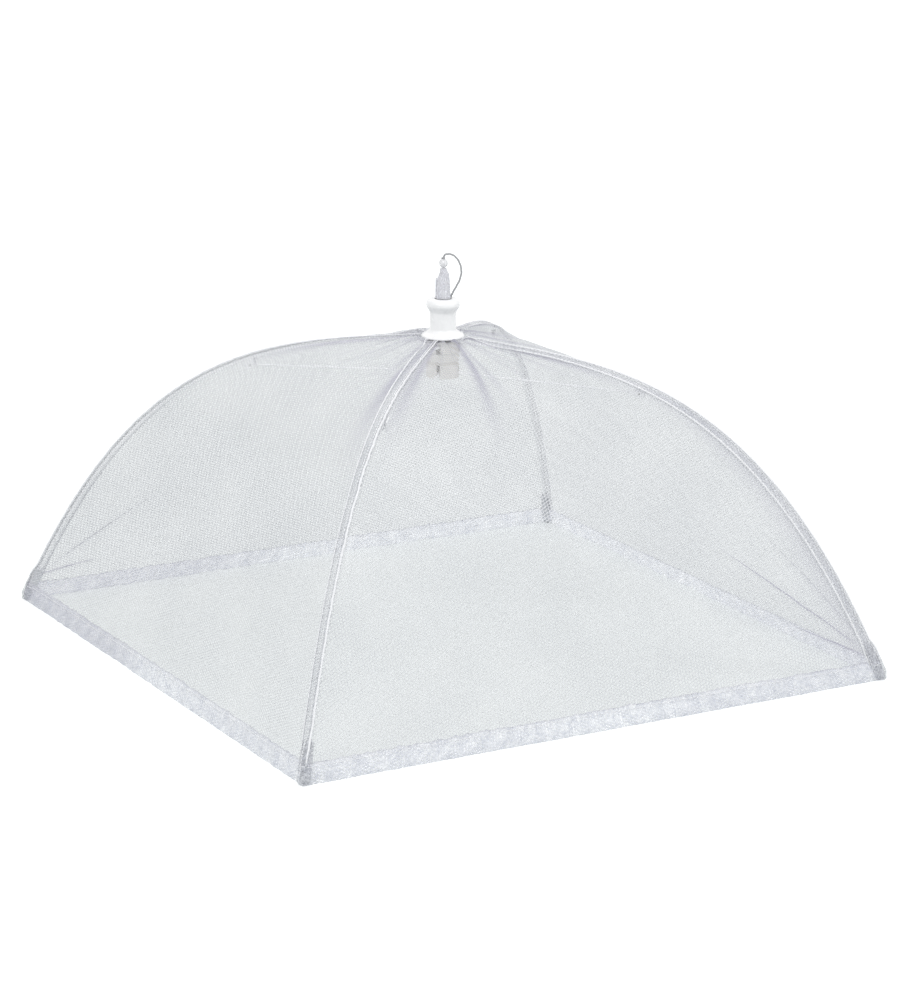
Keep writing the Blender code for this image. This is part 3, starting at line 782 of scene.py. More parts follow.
print(f"a gore is {2 * hem_radius / math.sqrt(2) * 1000:.0f} mm wide where its hem begins")

# %% [markdown]
# The end of each rib stands in a rounded cap in the corner of the hem, and the cloth is drawn tight over
# it. Cloth that would run through a cap is pushed out to lie on it.

# %% Wrap the cloth round the corner caps
rib_depth = 0.0023
cap_radius = 0.0033


def cap_line():
    """The middle line of a cap in the diagonal plane, from its foot to its mouth."""
    low = where_down(lambda radius: under_net(radius, rib_depth).z, cap_radius + 0.0003)
    high = low - 0.024 * math.cos(math.atan(net_slope(low)))
    return under_net(low, rib_depth), under_net(high, rib_depth), high


cap_foot, cap_mouth, cap_mouth_out = cap_line()


def over_cap(point, degrees, clear):
    """Push a point out of the cap on one diagonal, until it is this far from the cap's middle line."""
    turn = turned(degrees)
    foot, mouth = turn @ cap_foot, turn @ cap_mouth
    line = mouth - foot
    share = max(0.0, min(1.0, (point - foot).dot(line) / line.length_squared))
    near = foot + line * share
    away = point - near
    # A cap is thinner towards its mouth, so the cloth may lie closer there.
    needed = clear * (1 - 0.35 * max(0.0, share - 0.75) / 0.25)
    if away.length >= needed or away.length == 0:
        return point
    moved = near + away.normalized() * needed
    return Vector((moved.x, moved.y, max(moved.z, 0.0002)))


print(f"each corner cap is {(cap_mouth - cap_foot).length * 1000:.1f} mm long")

# %% [markdown]
# A half gore rides on its rib. As the cover folds, the cloth between two ribs crumples, and here each
# half simply goes down with its rib.

# %% Cut and hang the half gores
gore_turns = {"front_right": 0.0, "back_right": 90.0, "back_left": 180.0, "front_left": 270.0}
gore_ribs = {
    "front_right": ("front", "right"),
    "back_right": ("right", "back"),
    "back_left": ("back", "left"),
    "front_left": ("left", "front"),
}


def rib_beside(gore, side):
    """The rib on one side of a gore: the left one for -1, the right one for 1."""
    return gore_ribs[gore][0 if side < 0 else 1]


def fold_with(piece, rib):
    """Give a piece of cloth a mesh of its own. The rib is not used."""
    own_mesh(piece)


def mark_gathered_and_shaded(mesh, values):
    """Write down for each point how closely the threads lie there, and how much painted shade it gets."""
    mesh.attributes.new("gathered_and_shaded", "FLOAT", "POINT").data.foreach_set("value", values)


def half_sheet(gore, side, rows, columns, place, uv, gathering_and_shade):
    """A grid over half a gore, from its middle to the rib on one side."""
    turn = turned(gore_turns[gore])
    rib = rib_beside(gore, side)
    points, uvs, gathers_and_shades = [], [], []
    for i in range(rows + 1):
        for k in range(columns + 1):
            share = side * k / columns
            point = turn @ place(i, share)
            points.append(over_cap(point, diagonals[rib], cap_radius + 0.0005))
            uvs.append(uv(i, share))
            gathers_and_shades.append(gathering_and_shade(i, share))
    faces = []
    for i in range(rows):
        for k in range(columns):
            a = i * (columns + 1) + k
            face = (a, a + 1, a + columns + 2, a + columns + 1)
            faces.append(face if side < 0 else tuple(reversed(face)))
    mesh = mesh_of(points, faces, uvs)
    mark_gathered_and_shaded(mesh, gathers_and_shades)
    return mesh, rib


def half_gore(gore, side):
    rows, columns = 130, 96
    radii = []
    for i in range(rows + 1):
        share = i / rows
        packed = 0.5 * share + 0.25 * (1 - math.cos(math.pi * share))
        radii.append(net_top_radius + (hem_radius - net_top_radius) * packed)
    run = run_down(radii)
    seed = gore_seeds[gore]

    def place(i, share):
        return gore_point(radii[i], share, seed)

    def uv(i, share):
        return share * radii[i] / math.sqrt(2), run[-1] - run[i]

    def gathering_and_shade(i, share):
        return how_gathered_and_shaded(radii[i], share, seed)

    mesh, rib = half_sheet(gore, side, rows, columns, place, uv, gathering_and_shade)
    flat_area = 0.0
    for i in range(rows):
        flat_area += (run[i + 1] - run[i]) * (radii[i] + radii[i + 1]) / 2 / math.sqrt(2)
    piece = new_piece(f"net_{gore}_{rib}_half", mesh, net_cloth, f"rib_{rib}")
    return piece, rib, (hem_radius / math.sqrt(2), run[-1]), flat_area


half_gores = {}
for gore in gore_turns:
    for side in (-1, 1):
        half_gores[gore, side] = half_gore(gore, side)
sample_size = half_gores["front_right", -1][2]
print(f"half a gore is cut {sample_size[0] * 1000:.0f} mm wide and {sample_size[1] * 1000:.0f} mm long")

# %% [markdown]
# The hem is the net's edge, folded up and sewn down, so it is two layers thick with a stitched line near
# its top. The sewing puckers it a little, which gives the edge its slight waves. Along its top edges, and
# more towards some corners than others, its net is denser and painted darker with shade.

# %% Fold up the hems
def hem_wave(share, radius, height, seed):
    """How far slow waves and small puckers move the sewn edge out and up at a point."""
    x = share * (radius / math.sqrt(2))
    slow = noise.noise(Vector((x * 26.0, seed * 5.1, 0.0)))
    quick = noise.noise(Vector((x * 150.0, seed * 2.3, 4.0)))
    tied = 1 - abs(share) ** 12
    ripple = tied * (0.0010 * slow + 0.0009 * quick * (1 - height / (hem_height * 1.5)))
    raised = max(0.0, tied * 0.0007 * (slow + 0.4 * quick)) if height < 0.001 else 0.0
    return ripple, raised


hem_depth = 0.0002
# How much painted shade darkens the hem towards each rib's corner.
hem_corner_shade = {"front": 0.06, "right": 0.12, "back": 0.0, "left": 0.30}


def half_hem(gore, side):
    """A closed fold of cloth: up its outer face, over the bottom edge and up again inside."""
    columns = 110
    outer_rows = 8
    seed = gore_seeds[gore]
    loop = [
        (hem_height + 0.0008, 0.0005),
        (hem_height, 0.0002),
        (hem_height * 0.8, 0.0000),
        (hem_height * 0.6, -0.0003),
        (hem_height * 0.4, -0.0004),
        (hem_height * 0.2, -0.0003),
        (0.0012, 0.0000),
        (0.0004, 0.0003),
        (0.0002, 0.0008),
        (0.0006, 0.0013),
        (hem_height * 0.2, 0.0016),
        (hem_height * 0.5, 0.0017),
        (hem_height * 0.8, 0.0015),
        (hem_height - 0.0003, 0.0012),
        (hem_height + 0.0004, 0.0010),
    ]

    def place(i, share):
        height, inward = loop[i]
        uneven = noise.noise(Vector((share * 38.0, seed * 7.7, 9.0)))
        height += 0.0011 * uneven * eased(hem_height * 0.6, hem_height, height)
        radius = radius_at(height)
        ripple, raised = hem_wave(share, radius, height, seed)
        return gore_point(radius, share, seed, depth=hem_depth) + Vector((0, inward - ripple, raised))

    def uv(i, share):
        height, inward = loop[i]
        run = height * 1.05 if inward < 0.0008 else -height * 1.05
        return share * half_side + 0.0007 * (inward > 0.0008), run

    def gathering_and_shade(i, share):
        # Painted shade: darker towards some corners, and along both top edges of the fold.
        corner_shade = hem_corner_shade[rib_beside(gore, side)] * eased(0.0, 0.4, abs(share))
        return 0.5 if i in (0, len(loop) - 1) else corner_shade

    mesh, rib = half_sheet(gore, side, len(loop) - 1, columns, place, uv, gathering_and_shade)
    piece = new_piece(f"hem_{gore}_{rib}_half", mesh, hem_net, f"rib_{rib}")
    piece.data.materials.append(hem_lining_with_glow)
    for face in piece.data.polygons:
        face.material_index = int(face.index >= outer_rows * columns)
    return piece


half_hems = {key: half_hem(*key) for key in half_gores}
for key, (piece, rib, flat, flat_area) in half_gores.items():
    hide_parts(f"gore_{key[0]}")
    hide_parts(f"hem_{key[0]}")
print("hem halves:", len(half_hems))

# %% [markdown]
# Where two gores meet over a rib, their edges are folded together to one side and sewn down flat, which
# is called a felled seam. It shows as a see-through strip of doubled net between two bright lines: the
# white wire of the rib on one side, and the thread that binds the fold on the other.

# %% Fell the seams over the ribs
seam_width = 0.0066
rib_left_gore = {pair[1]: gore for gore, pair in gore_ribs.items()}
rib_right_gore = {pair[0]: gore for gore, pair in gore_ribs.items()}


def seam_point(rib, radius, across, lift):
    """A point on the net this far across a rib's line, negative on the side that the seam lies on."""
    gore = rib_left_gore[rib] if across < 0 else rib_right_gore[rib]
    turn = turned(gore_turns[gore])
    lean = math.sqrt(1 - math.cos(math.atan(net_slope(radius))) ** 2 / 2)
    half = radius / math.sqrt(2)
    share = max(0.0, 1 - abs(across) / lean / half)
    side = 1 if across < 0 else -1
    point = turn @ gore_point(radius, side * share, gore_seeds[gore], depth=-lift)
    return over_cap(point, diagonals[rib], cap_radius + 0.0010 + lift)


print("each seam is", seam_width * 1000, "mm wide")

# %% Sew one seam
def seam_mesh(rib):
    """A flat loop of cloth along the rib: up over its line, down at the fold, and back underneath."""
    section = [
        (0.0015, 0.0002),
        (0.0012, 0.0006),
        (0.0004, 0.0009),
        (-0.0008, 0.0009),
        (-0.0026, 0.0008),
        (-0.0044, 0.0008),
        (-0.0058, 0.0010),
        (-0.0065, 0.0009),
        (-seam_width, 0.0005),
        (-0.0060, 0.0002),
        (-0.0040, 0.0002),
        (-0.0015, 0.0003),
    ]
    rows = 150
    first, last = 0.0125, radius_at(0.0012)
    radii = [first + (last - first) * (i / rows) ** 0.85 for i in range(rows + 1)]
    points, uvs, faces = [], [], []
    run = 0.0
    for i, radius in enumerate(radii):
        if i:
            run += math.hypot(radius - radii[i - 1], net_height(radius) - net_height(radii[i - 1]))
        grow = min(1.0, i / 10 + 0.55)
        gather = 1 + 0.10 * noise.noise(Vector((run * 60.0, diagonals[rib], 0)))
        for across, lift in section:
            spread = across * grow * (gather if across < 0 else 1.0)
            points.append(seam_point(rib, radius, spread, lift))
            uvs.append((run, across if lift > 0.00045 else -across))
    count = len(section)
    for i in range(rows):
        for k in range(count):
            a, b = i * count + k, i * count + (k + 1) % count
            faces.append((a, b, b + count, a + count))
    return mesh_of(points, faces, uvs)


seams = {}
for rib in diagonals:
    seams[rib] = new_piece(f"felled_seam_{rib}", seam_mesh(rib), seam_net, f"rib_{rib}")
    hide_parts(f"seam_tape_{rib}")
print("seams:", len(seams))

# %% [markdown]
# The sewing thread is spun, and so is the pull cord. One shared group gives them all their slanting
# strands, with a little fuzz, and paints shade into their colour: lighter on top of each strand, darker
# between two.

# %% Spin the thread
def make_twist_group():
    group, given, result = new_group(
        "spun strands",
        [
            ("Cloth", VECTOR, None),
            ("Turns per metre", FLOAT, 700.0),
            ("Strands", FLOAT, 2.0),
            ("Light", COLOUR, (0.9, 0.9, 0.92, 1)),
            ("Dark", COLOUR, (0.6, 0.6, 0.64, 1)),
        ],
        [("Colour", COLOUR), ("Height", FLOAT)],
    )
    split = group.nodes.new("ShaderNodeSeparateXYZ")
    group.links.new(given["Cloth"], split.inputs[0])
    along = sum_of(group, "MULTIPLY", split.outputs[0], given["Turns per metre"])
    round_share = sum_of(group, "MULTIPLY", split.outputs[1], given["Strands"])
    phase = sum_of(group, "FRACT", sum_of(group, "ADD", along, round_share))
    hill = sum_of(group, "SINE", sum_of(group, "MULTIPLY", phase, math.pi))
    fuzz = noise_of(group, given["Cloth"], 3000.0, 2.0)
    strand = sum_of(group, "MULTIPLY", hill, 0.85)
    height = sum_of(group, "ADD", strand, sum_of(group, "MULTIPLY", fuzz, 0.3))
    # Painted shade: the colour is darker where the strands are low, between two.
    colour = between(group, ranged(group, height, 0.2, 0.9), given["Dark"], given["Light"])
    group.links.new(colour, result["Colour"])
    group.links.new(height, result["Height"])
    return group


twist_group = make_twist_group()


def spun_finish(name, light, dark, turns, strands):
    material, tree, shader = new_finish(name, 0.7, sheen_weight=0.2)
    spun = place_group(
        tree,
        twist_group,
        cloth=cloth_metres(tree),
        turns_per_metre=turns,
        strands=strands,
        light=light,
        dark=dark,
    )
    tree.links.new(spun["Colour"], shader.inputs["Base Color"])
    add_bump(tree, shader, spun["Height"], fine_relief)
    return material


thread_light = (0.92, 0.92, 0.93, 1)
thread_dark = (0.72, 0.73, 0.77, 1)
white_thread = spun_finish("white sewing thread", thread_light, thread_dark, turns=1400.0, strands=2.0)
print("thread finish:", white_thread.name)

# %% [markdown]
# Two bright lines edge each seam: the overlocked thread that binds its folded edge, and the ridge where
# the cloth is gathered over the rib's wire. Both are uneven strands, thinner near the hub, where less
# cloth is gathered, and they sink into the hem at the corner.

# %% Bind the folds of the seams
def bound_edge(rib, name, across, lift, thickness, uneven):
    """A strand of thread along one edge of a seam, a little uneven, as a machine binds it."""
    first, last, steps = 0.0155, radius_at(0.011), 220
    line = []
    for i in range(steps + 1):
        radius = first + (last - first) * i / steps
        sunk = 0.0012 * eased(0.97, 1.0, i / steps)
        waver = uneven * 0.001 * noise.noise(Vector((i * 0.31, diagonals[rib], across * 900)))
        line.append(seam_point(rib, radius, across + waver, lift - sunk))

    def ring(i, share):
        swell = thickness / 2 * (0.6 + 0.4 * eased(0.0, 0.4, share))
        swell *= 1 + uneven * noise.noise(Vector((i * 0.7, diagonals[rib], 5.0)))
        return [(swell * math.cos(math.pi * k / 5), swell * math.sin(math.pi * k / 5)) for k in range(10)]

    piece = new_piece(f"{name}_{rib}", tube(line, ring), white_thread, f"rib_{rib}")
    fold_with(piece, rib)
    return piece


bound_edges = []
for rib in diagonals:
    bound_edges.append(bound_edge(rib, "seam_edge", -seam_width, lift=0.0007, thickness=0.0010, uneven=0.25))
    bound_edges.append(bound_edge(rib, "seam_ridge", 0.0004, lift=0.0010, thickness=0.0014, uneven=0.45))
print("bound edges:", len(bound_edges))

# %% [markdown]
# The sharpest line of a crease is where the net lies double. From afar it reads as one thin dark line,
# finer than the gore's own grid can draw, so it is a narrow strip of the same net, laid on the ridge.
# The strip's net is denser, and its darkness is painted shade.

# %% Press the sharpest creases
crease_width = 0.0009


def crease_strip(gore, n):
    """A narrow strip of doubled net that lies along one crease of a gore."""
    start, end = crease_ends[gore][n]
    side = 1 if start[0] > 0 else -1
    rib = rib_beside(gore, side)
    turn = turned(gore_turns[gore])
    line = Vector(end) - Vector(start)
    across = Vector((-line.y, line.x)).normalized() * crease_width / 2
    points, uvs, faces = [], [], []
    steps = 70
    for i in range(steps + 1):
        taper = math.sin(math.pi * min(0.98, 0.12 + 0.86 * i / steps))
        waver = 0.0012 * noise.noise(Vector((i * 0.09, gore_seeds[gore], n)))
        for edge in (-1, 1):
            place = Vector(start) + line * (i / steps) + across * (edge * taper + waver / crease_width)
            radius = radius_at(place.y)
            share = place.x * math.sqrt(2) / radius
            points.append(turn @ gore_point(radius, share, gore_seeds[gore], depth=-0.0003))
            uvs.append((place.x, place.y))
    for i in range(steps):
        faces.append((2 * i, 2 * i + 1, 2 * i + 3, 2 * i + 2))
    mesh = mesh_of(points, faces, uvs)
    # Painted shade: the strip is marked nearly fully gathered, so it is darker and denser.
    mark_gathered_and_shaded(mesh, [0.85] * len(points))
    piece = new_piece(f"crease_{gore}_{n + 1}", mesh, net_cloth, f"rib_{rib}")
    fold_with(piece, rib)
    return piece


creases = [crease_strip(gore, n) for gore in crease_ends for n in range(len(crease_ends[gore]))]
print("pressed creases:", len(creases))

# %% [markdown]
# The stitches are what makes a seam look sewn. Each one is a short bulge of thread that dives into the
# cloth at both ends, so a row of small capsules along a line is all that is needed. Each seam has two
# rows, and each hem has one near its top.

# %% Sew a row of stitches
stitch_pitch = 0.0026
stitch_length = 0.0021
stitch_radius = 0.00026


def stitch_places(line):
    """Points at even steps along a line, with the direction at each."""
    out, left = [], 0.0
    for a, b in zip(line, line[1:]):
        length = (b - a).length
        while left < length:
            out.append((a + (b - a) * (left / length), (b - a) / length))
            left += stitch_pitch
        left -= length
    return out


def stitch_row(line, up_of):
    """Small capsules along a line; up_of(share) is the direction that stands off the cloth."""
    points, faces, uvs = [], [], []
    stations = [(-0.5, 0.35), (-0.36, 0.85), (-0.12, 1.0), (0.12, 1.0), (0.36, 0.85), (0.5, 0.35)]
    places = stitch_places(line)
    for n, (middle, ahead) in enumerate(places):
        up = up_of(n / max(1, len(places) - 1))
        up = (up - up.dot(ahead) * ahead).normalized()
        side = ahead.cross(up)
        first = len(points)
        for s, swell in stations:
            sink = 0.0003 * (2 * abs(s)) ** 3
            for k in range(6):
                angle = math.pi * k / 3
                off = side * math.cos(angle) + up * math.sin(angle)
                points.append(middle + ahead * s * stitch_length - up * sink + off * stitch_radius * swell)
                uvs.append((s * stitch_length, k / 6))
        for i in range(len(stations) - 1):
            for k in range(6):
                a, b = first + i * 6 + k, first + i * 6 + (k + 1) % 6
                faces.append((a, b, b + 6, a + 6))
        faces.append(tuple(first + k for k in reversed(range(6))))
        faces.append(tuple(first + (len(stations) - 1) * 6 + k for k in range(6)))
    return mesh_of(points, faces, uvs), len(places)


def joined(meshes):
    """One mesh from several, with their UVs."""
    bm = bmesh.new()
    for mesh in meshes:
        bm.from_mesh(mesh)
    whole = bpy.data.meshes.new("piece")
    bm.to_mesh(whole)
    bm.free()
    for mesh in meshes:
        bpy.data.meshes.remove(mesh)
    return whole


def diagonal_up(rib, radius):
    normal = Vector((-net_slope(radius), 0, 1)).normalized()
    return turned(diagonals[rib]) @ normal


def seam_stitches(rib):
    """Two rows of stitches along a seam, and how many they are."""
    first, last, steps = 0.016, radius_at(0.006), 160
    radii = [first + (last - first) * i / steps for i in range(steps + 1)]
    rows, total = [], 0
    for across in (-0.0060, -0.0009):
        line = [seam_point(rib, radius, across, 0.0010) for radius in radii]
        mesh, count = stitch_row(line, lambda share: diagonal_up(rib, first + (last - first) * share))
        rows.append(mesh)
        total += count
    piece = new_piece(f"seam_stitches_{rib}", joined(rows), white_thread, f"rib_{rib}")
    fold_with(piece, rib)
    return total


print("stitches along the seams:", sum(seam_stitches(rib) for rib in diagonals))


def hem_stitches(gore, side):
    rib = rib_beside(gore, side)
    turn = turned(gore_turns[gore])
    height = hem_height * 0.88
    radius = radius_at(height)
    seed = gore_seeds[gore]
    steps = 160
    line = []
    for i in range(steps + 1):
        share = side * i / steps
        ripple = hem_wave(share, radius, height, seed)[0]
        point = gore_point(radius, share, seed, depth=hem_depth) + Vector((0, -0.0001 - ripple, 0))
        line.append(over_cap(turn @ point, diagonals[rib], cap_radius + 0.0012))
    outward = turn @ Vector((0, -1, 0.3)).normalized()
    mesh, count = stitch_row(line, lambda share: outward)
    piece = new_piece(f"hem_stitches_{gore}_{rib}_half", mesh, white_thread, f"rib_{rib}")
    fold_with(piece, rib)
    return count


print("stitches along the hems:", sum(hem_stitches(gore, side) for gore, side in half_gores))
for key, half in half_gores.items():
    fold_with(half[0], rib_beside(*key))
for key, piece in half_hems.items():
    fold_with(piece, rib_beside(*key))
for rib, piece in seams.items():
    fold_with(piece, rib)

# %% [markdown]
# The ribs and stretchers are steel wire in a white plastic coat. Each ends in a flattened eye that turns
# on a pin. A rib is a tube along its curve, and its eye is a small ring from the lathe.
# The coat is smooth with a faint ripple. It is a little greyer in its hollows, and rubbed lighter and
# rougher on sharp edges.

# %% Coat and mould the plastics
def make_moulded_group():
    group, given, result = new_group(
        "moulded plastic",
        [
            ("Place", VECTOR, None),
            ("Light", COLOUR, (0.86, 0.86, 0.86, 1)),
            ("Dark", COLOUR, (0.72, 0.72, 0.72, 1)),
            ("Cloud size", FLOAT, 90.0),
            ("Grain size", FLOAT, 1500.0),
            ("Roughness", FLOAT, 0.35),
            ("Wear", FLOAT, 0.3),
        ],
        [("Colour", COLOUR), ("Roughness", FLOAT), ("Height", FLOAT)],
    )
    cloud = noise_of(group, given["Place"], given["Cloud size"], 4.0, roughness=0.5)
    grain = noise_of(group, given["Place"], given["Grain size"], 2.0, roughness=0.5)
    shape = group.nodes.new("ShaderNodeNewGeometry")
    edge = ranged(group, shape.outputs["Pointiness"], 0.51, 0.58)
    edge = sum_of(group, "MULTIPLY", edge, given["Wear"], clamp=True)
    # Concave hollows turn a little greyer.
    hollow = ranged(group, shape.outputs["Pointiness"], 0.49, 0.40)
    hollow = sum_of(group, "MULTIPLY", hollow, given["Wear"], clamp=True)
    clouded = ranged(group, cloud, 0.35, 0.7)
    soiled = sum_of(group, "MULTIPLY", clouded, 0.45)
    shade = sum_of(group, "ADD", soiled, hollow, clamp=True)
    colour = between(group, shade, given["Light"], given["Dark"])
    rubbed = between(group, sum_of(group, "MULTIPLY", edge, 0.5), colour, (0.95, 0.95, 0.95, 1))
    group.links.new(rubbed, result["Colour"])
    rougher = sum_of(group, "MULTIPLY", sum_of(group, "SUBTRACT", clouded, 0.5), 0.16)
    rough = sum_of(group, "ADD", given["Roughness"], rougher)
    rough = sum_of(group, "ADD", rough, sum_of(group, "MULTIPLY", edge, 0.2))
    group.links.new(rough, result["Roughness"])
    broad = sum_of(group, "MULTIPLY", cloud, 0.7)
    height = sum_of(group, "ADD", broad, sum_of(group, "MULTIPLY", grain, 0.3))
    group.links.new(height, result["Height"])
    return group


moulded_group = make_moulded_group()


def moulded_finish(name, light, dark, roughness, wear=0.3, cloud=90.0, **constants):
    material, tree, shader = new_finish(name, roughness, **constants)
    moulded = place_group(
        tree,
        moulded_group,
        place=own_place(tree),
        light=light,
        dark=dark,
        cloud_size=cloud,
        roughness=roughness,
        wear=wear,
    )
    tree.links.new(moulded["Colour"], shader.inputs["Base Color"])
    tree.links.new(moulded["Roughness"], shader.inputs["Roughness"])
    add_bump(tree, shader, moulded["Height"], fine_relief)
    return material


glossy_white = moulded_finish(
    "glossy white plastic",
    (0.90, 0.90, 0.90, 1),
    (0.84, 0.84, 0.84, 1),
    0.26,
    coat_weight=0.3,
    coat_roughness=0.12,
)
warm_white = moulded_finish(
    "warm white plastic",
    (0.76, 0.73, 0.69, 1),
    (0.58, 0.54, 0.50, 1),
    0.5,
    wear=0.5,
    cloud=220.0,
)
coated_wire = moulded_finish(
    "white coated wire",
    (0.93, 0.935, 0.94, 1),
    (0.83, 0.84, 0.86, 1),
    0.32,
    cloud=160.0,
)
coated_clip = moulded_finish(
    "white coated clip",
    (0.90, 0.905, 0.91, 1),
    (0.78, 0.79, 0.81, 1),
    0.38,
    cloud=260.0,
)
grey_cap = moulded_finish(
    "grey end cap",
    (0.60, 0.61, 0.64, 1),
    (0.46, 0.47, 0.50, 1),
    0.5,
    cloud=260.0,
)
print("plastic finishes:", glossy_white.name, warm_white.name, coated_wire.name, grey_cap.name)

# %% Bend the ribs
hinge = Vector((0.009, 0, 0.205826))
rib_radius = 0.0012
eye_radius = 0.0017
eye_bore = 0.0009


def across_pins(point):
    """A frame at a point of the diagonal plane with its Z along the pins."""
    return Matrix.Translation(point) @ Matrix.Rotation(math.radians(90), 4, "X")


def eye(point, thickness):
    """A flattened wire end with a round hole, its edges eased."""
    half = thickness / 2
    ease = 0.0003
    profile = [
        (eye_bore, -half + ease / 2),
        (eye_bore + ease / 2, -half),
        (eye_radius - ease, -half),
        (eye_radius, -half + ease),
        (eye_radius, half - ease),
        (eye_radius - ease, half),
        (eye_bore + ease / 2, half),
        (eye_bore, half - ease / 2),
    ]
    mesh = lathe(profile, 32)
    mesh.transform(across_pins(point))
    return mesh


def rib_line():
    """The wire's middle line in the diagonal plane, from its hinge to the foot of its cap."""
    points = [hinge]
    lowest = under_net(hinge.x, rib_depth).z - hinge.z
    start, end = hinge.x + eye_radius, cap_mouth_out
    steps = 96
    for i in range(steps + 1):
        radius = start + (end - start) * (i / steps) ** 0.75
        point = under_net(radius, rib_depth)
        short = max(0.0, 1 - (point.x - hinge.x) / 0.026)
        points.append(point - Vector((0, 0, lowest * short**2)))
    points.append(cap_foot + (cap_mouth - cap_foot).normalized() * 0.0004)
    return points


for rib, degrees in diagonals.items():
    mesh = joined([tube(rib_line(), round_ring(rib_radius, 20)), eye(hinge, 0.0026)])
    mesh.transform(turned(degrees))
    new_piece(f"wire_rib_{rib}", mesh, coated_wire, f"rib_{rib}")
    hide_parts(f"rib_{rib}")

# %% Bend the stretchers
clip_pin = under_net(0.137, rib_depth + 0.0044)
runner_pin = Vector((0.0092, 0, 0.187026))


def stretcher_mesh():
    """A thin wire between its two eyes, pressed a little flatter as it comes to each."""
    steps = 60
    line = [clip_pin + (runner_pin - clip_pin) * (i / steps) for i in range(steps + 1)]

    def ring(i, share):
        near = max(0.0, 1 - min(i, steps - i) / 3)
        wide, thin = 0.0007 * (1 + 0.5 * near), 0.0007 * (1 - 0.12 * near)
        return [(wide * math.cos(math.pi * k / 8), thin * math.sin(math.pi * k / 8)) for k in range(16)]

    return joined([tube(line, ring), eye(clip_pin, 0.0016), eye(runner_pin, 0.0016)])


for rib, degrees in diagonals.items():
    mesh = stretcher_mesh()
    mesh.transform(turned(degrees))
    new_piece(f"thin_stretcher_{rib}", mesh, coated_wire, f"stretcher_{rib}")
    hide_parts(f"stretcher_{rib}")
print(f"each stretcher is {(clip_pin - runner_pin).length * 1000:.1f} mm between its pins")

# %% [markdown]
# A cap closes the sharp end of each rib and gives the cloth something round to lie on. It is a short
# moulded sleeve with a rounded foot and a small collar at its mouth, so the lathe draws it.

# %% Turn the corner caps
def cap_profile():
    length = (cap_mouth - cap_foot).length
    outer = [
        (0.00155, length),
        (0.0024, length),
        (0.0028, length - 0.0003),
        (0.0029, length - 0.0009),
        (0.0028, length - 0.0015),
        (0.0026, length - 0.0019),
        (0.0029, length * 0.72),
        (0.0032, length * 0.5),
        (cap_radius, length * 0.3),
    ]
    foot = arc((0, 0), cap_radius, 0, -88, 10)
    return [*outer, *foot, (0.0001, -cap_radius), (0.0001, -0.0006), (0.00155, -0.0006)]


def upright_at(foot, ahead):
    z = ahead.normalized()
    y = Vector((0, 1, 0))
    return Matrix.Translation(foot) @ Matrix((y.cross(z), y, z)).transposed().to_4x4()


for rib, degrees in diagonals.items():
    mesh = lathe(cap_profile(), 40)
    mesh.transform(upright_at(cap_foot, cap_mouth - cap_foot))
    mesh.transform(turned(degrees))
    new_piece(f"rounded_cap_{rib}", mesh, grey_cap, f"rib_{rib}")
    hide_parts(f"corner_cap_{rib}")

# %% [markdown]
# The hub is one glossy moulding: a round lip for the fingers, a straight neck and a flare that spreads
# over the net. The mould leaves a fine parting line down two sides, and every outer edge is eased.

# %% Turn the hub
flange_bottom = 0.2113
neck_radius = 0.0090


def hub_profile():
    """The hub's outline: over the round lip, down the neck, out over the flare and back up inside."""
    lip_middle = hub_top - 0.0041
    lip_bottom = hub_top - 0.0098
    profile = arc((0.0062, hub_top - 0.0006), 0.0006, 180, 90, 5)
    for i in range(13):
        angle = math.pi / 2 * i / 12
        profile.append((0.0068 + 0.0046 * math.sin(angle), hub_top - 0.0041 * (1 - math.cos(angle))))
    for i in range(1, 15):
        share = i / 14
        radius = neck_radius + 0.0012 * (1 + math.cos(math.pi * share))
        profile.append((radius, lip_middle + (lip_bottom - lip_middle) * share))
    flare_top = flange_bottom + 0.0055
    for i in range(15):
        share = i / 14
        profile.append((neck_radius + 0.0050 * share**1.5, flare_top - 0.0040 * share))
    profile += arc((0.0139, flange_bottom + 0.0006), 0.0006, 50, -90, 6)
    profile += [(0.0078, flange_bottom), (0.0078, flange_bottom + 0.0105), (0.0056, flange_bottom + 0.0105)]
    profile.append((0.0056, hub_top - 0.003))
    return profile


def parting_line(radius, height, angle):
    """Two fine raised lines, on opposite sides, where the halves of the mould met."""
    if radius < 0.0082:
        return 0.0
    away = min(abs(math.sin(angle - math.radians(18))), 1.0)
    return 0.00008 * math.exp(-((away / 0.03) ** 2))


hub = new_piece("hub_moulding", lathe(hub_profile(), 192, parting_line), glossy_white, "crown")
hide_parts("crown_hub")
print(f"the hub is {(hub_top - flange_bottom) * 1000:.1f} mm tall")

# %% [markdown]
# The latch head is the end of the pull rod. It is a tapered tongue of milky, see-through plastic with
# fine flutes, straight on one side and sloping on the other, and a groove in its slope takes the cord.
# A stack of outlines, one for each height, follows that shape better than a lathe can.

# %% Shape the pull rod
head_bottom = 0.2376
head_height = 0.020
rod_bottom = 0.194926
head_turn = math.radians(-29.4)
shoulder = 0.0132
rod_radius = 0.0036
foot_radius = 0.0053
shoulder_radius = 0.0043
tip_radius = 0.0022
groove_half = 0.0013


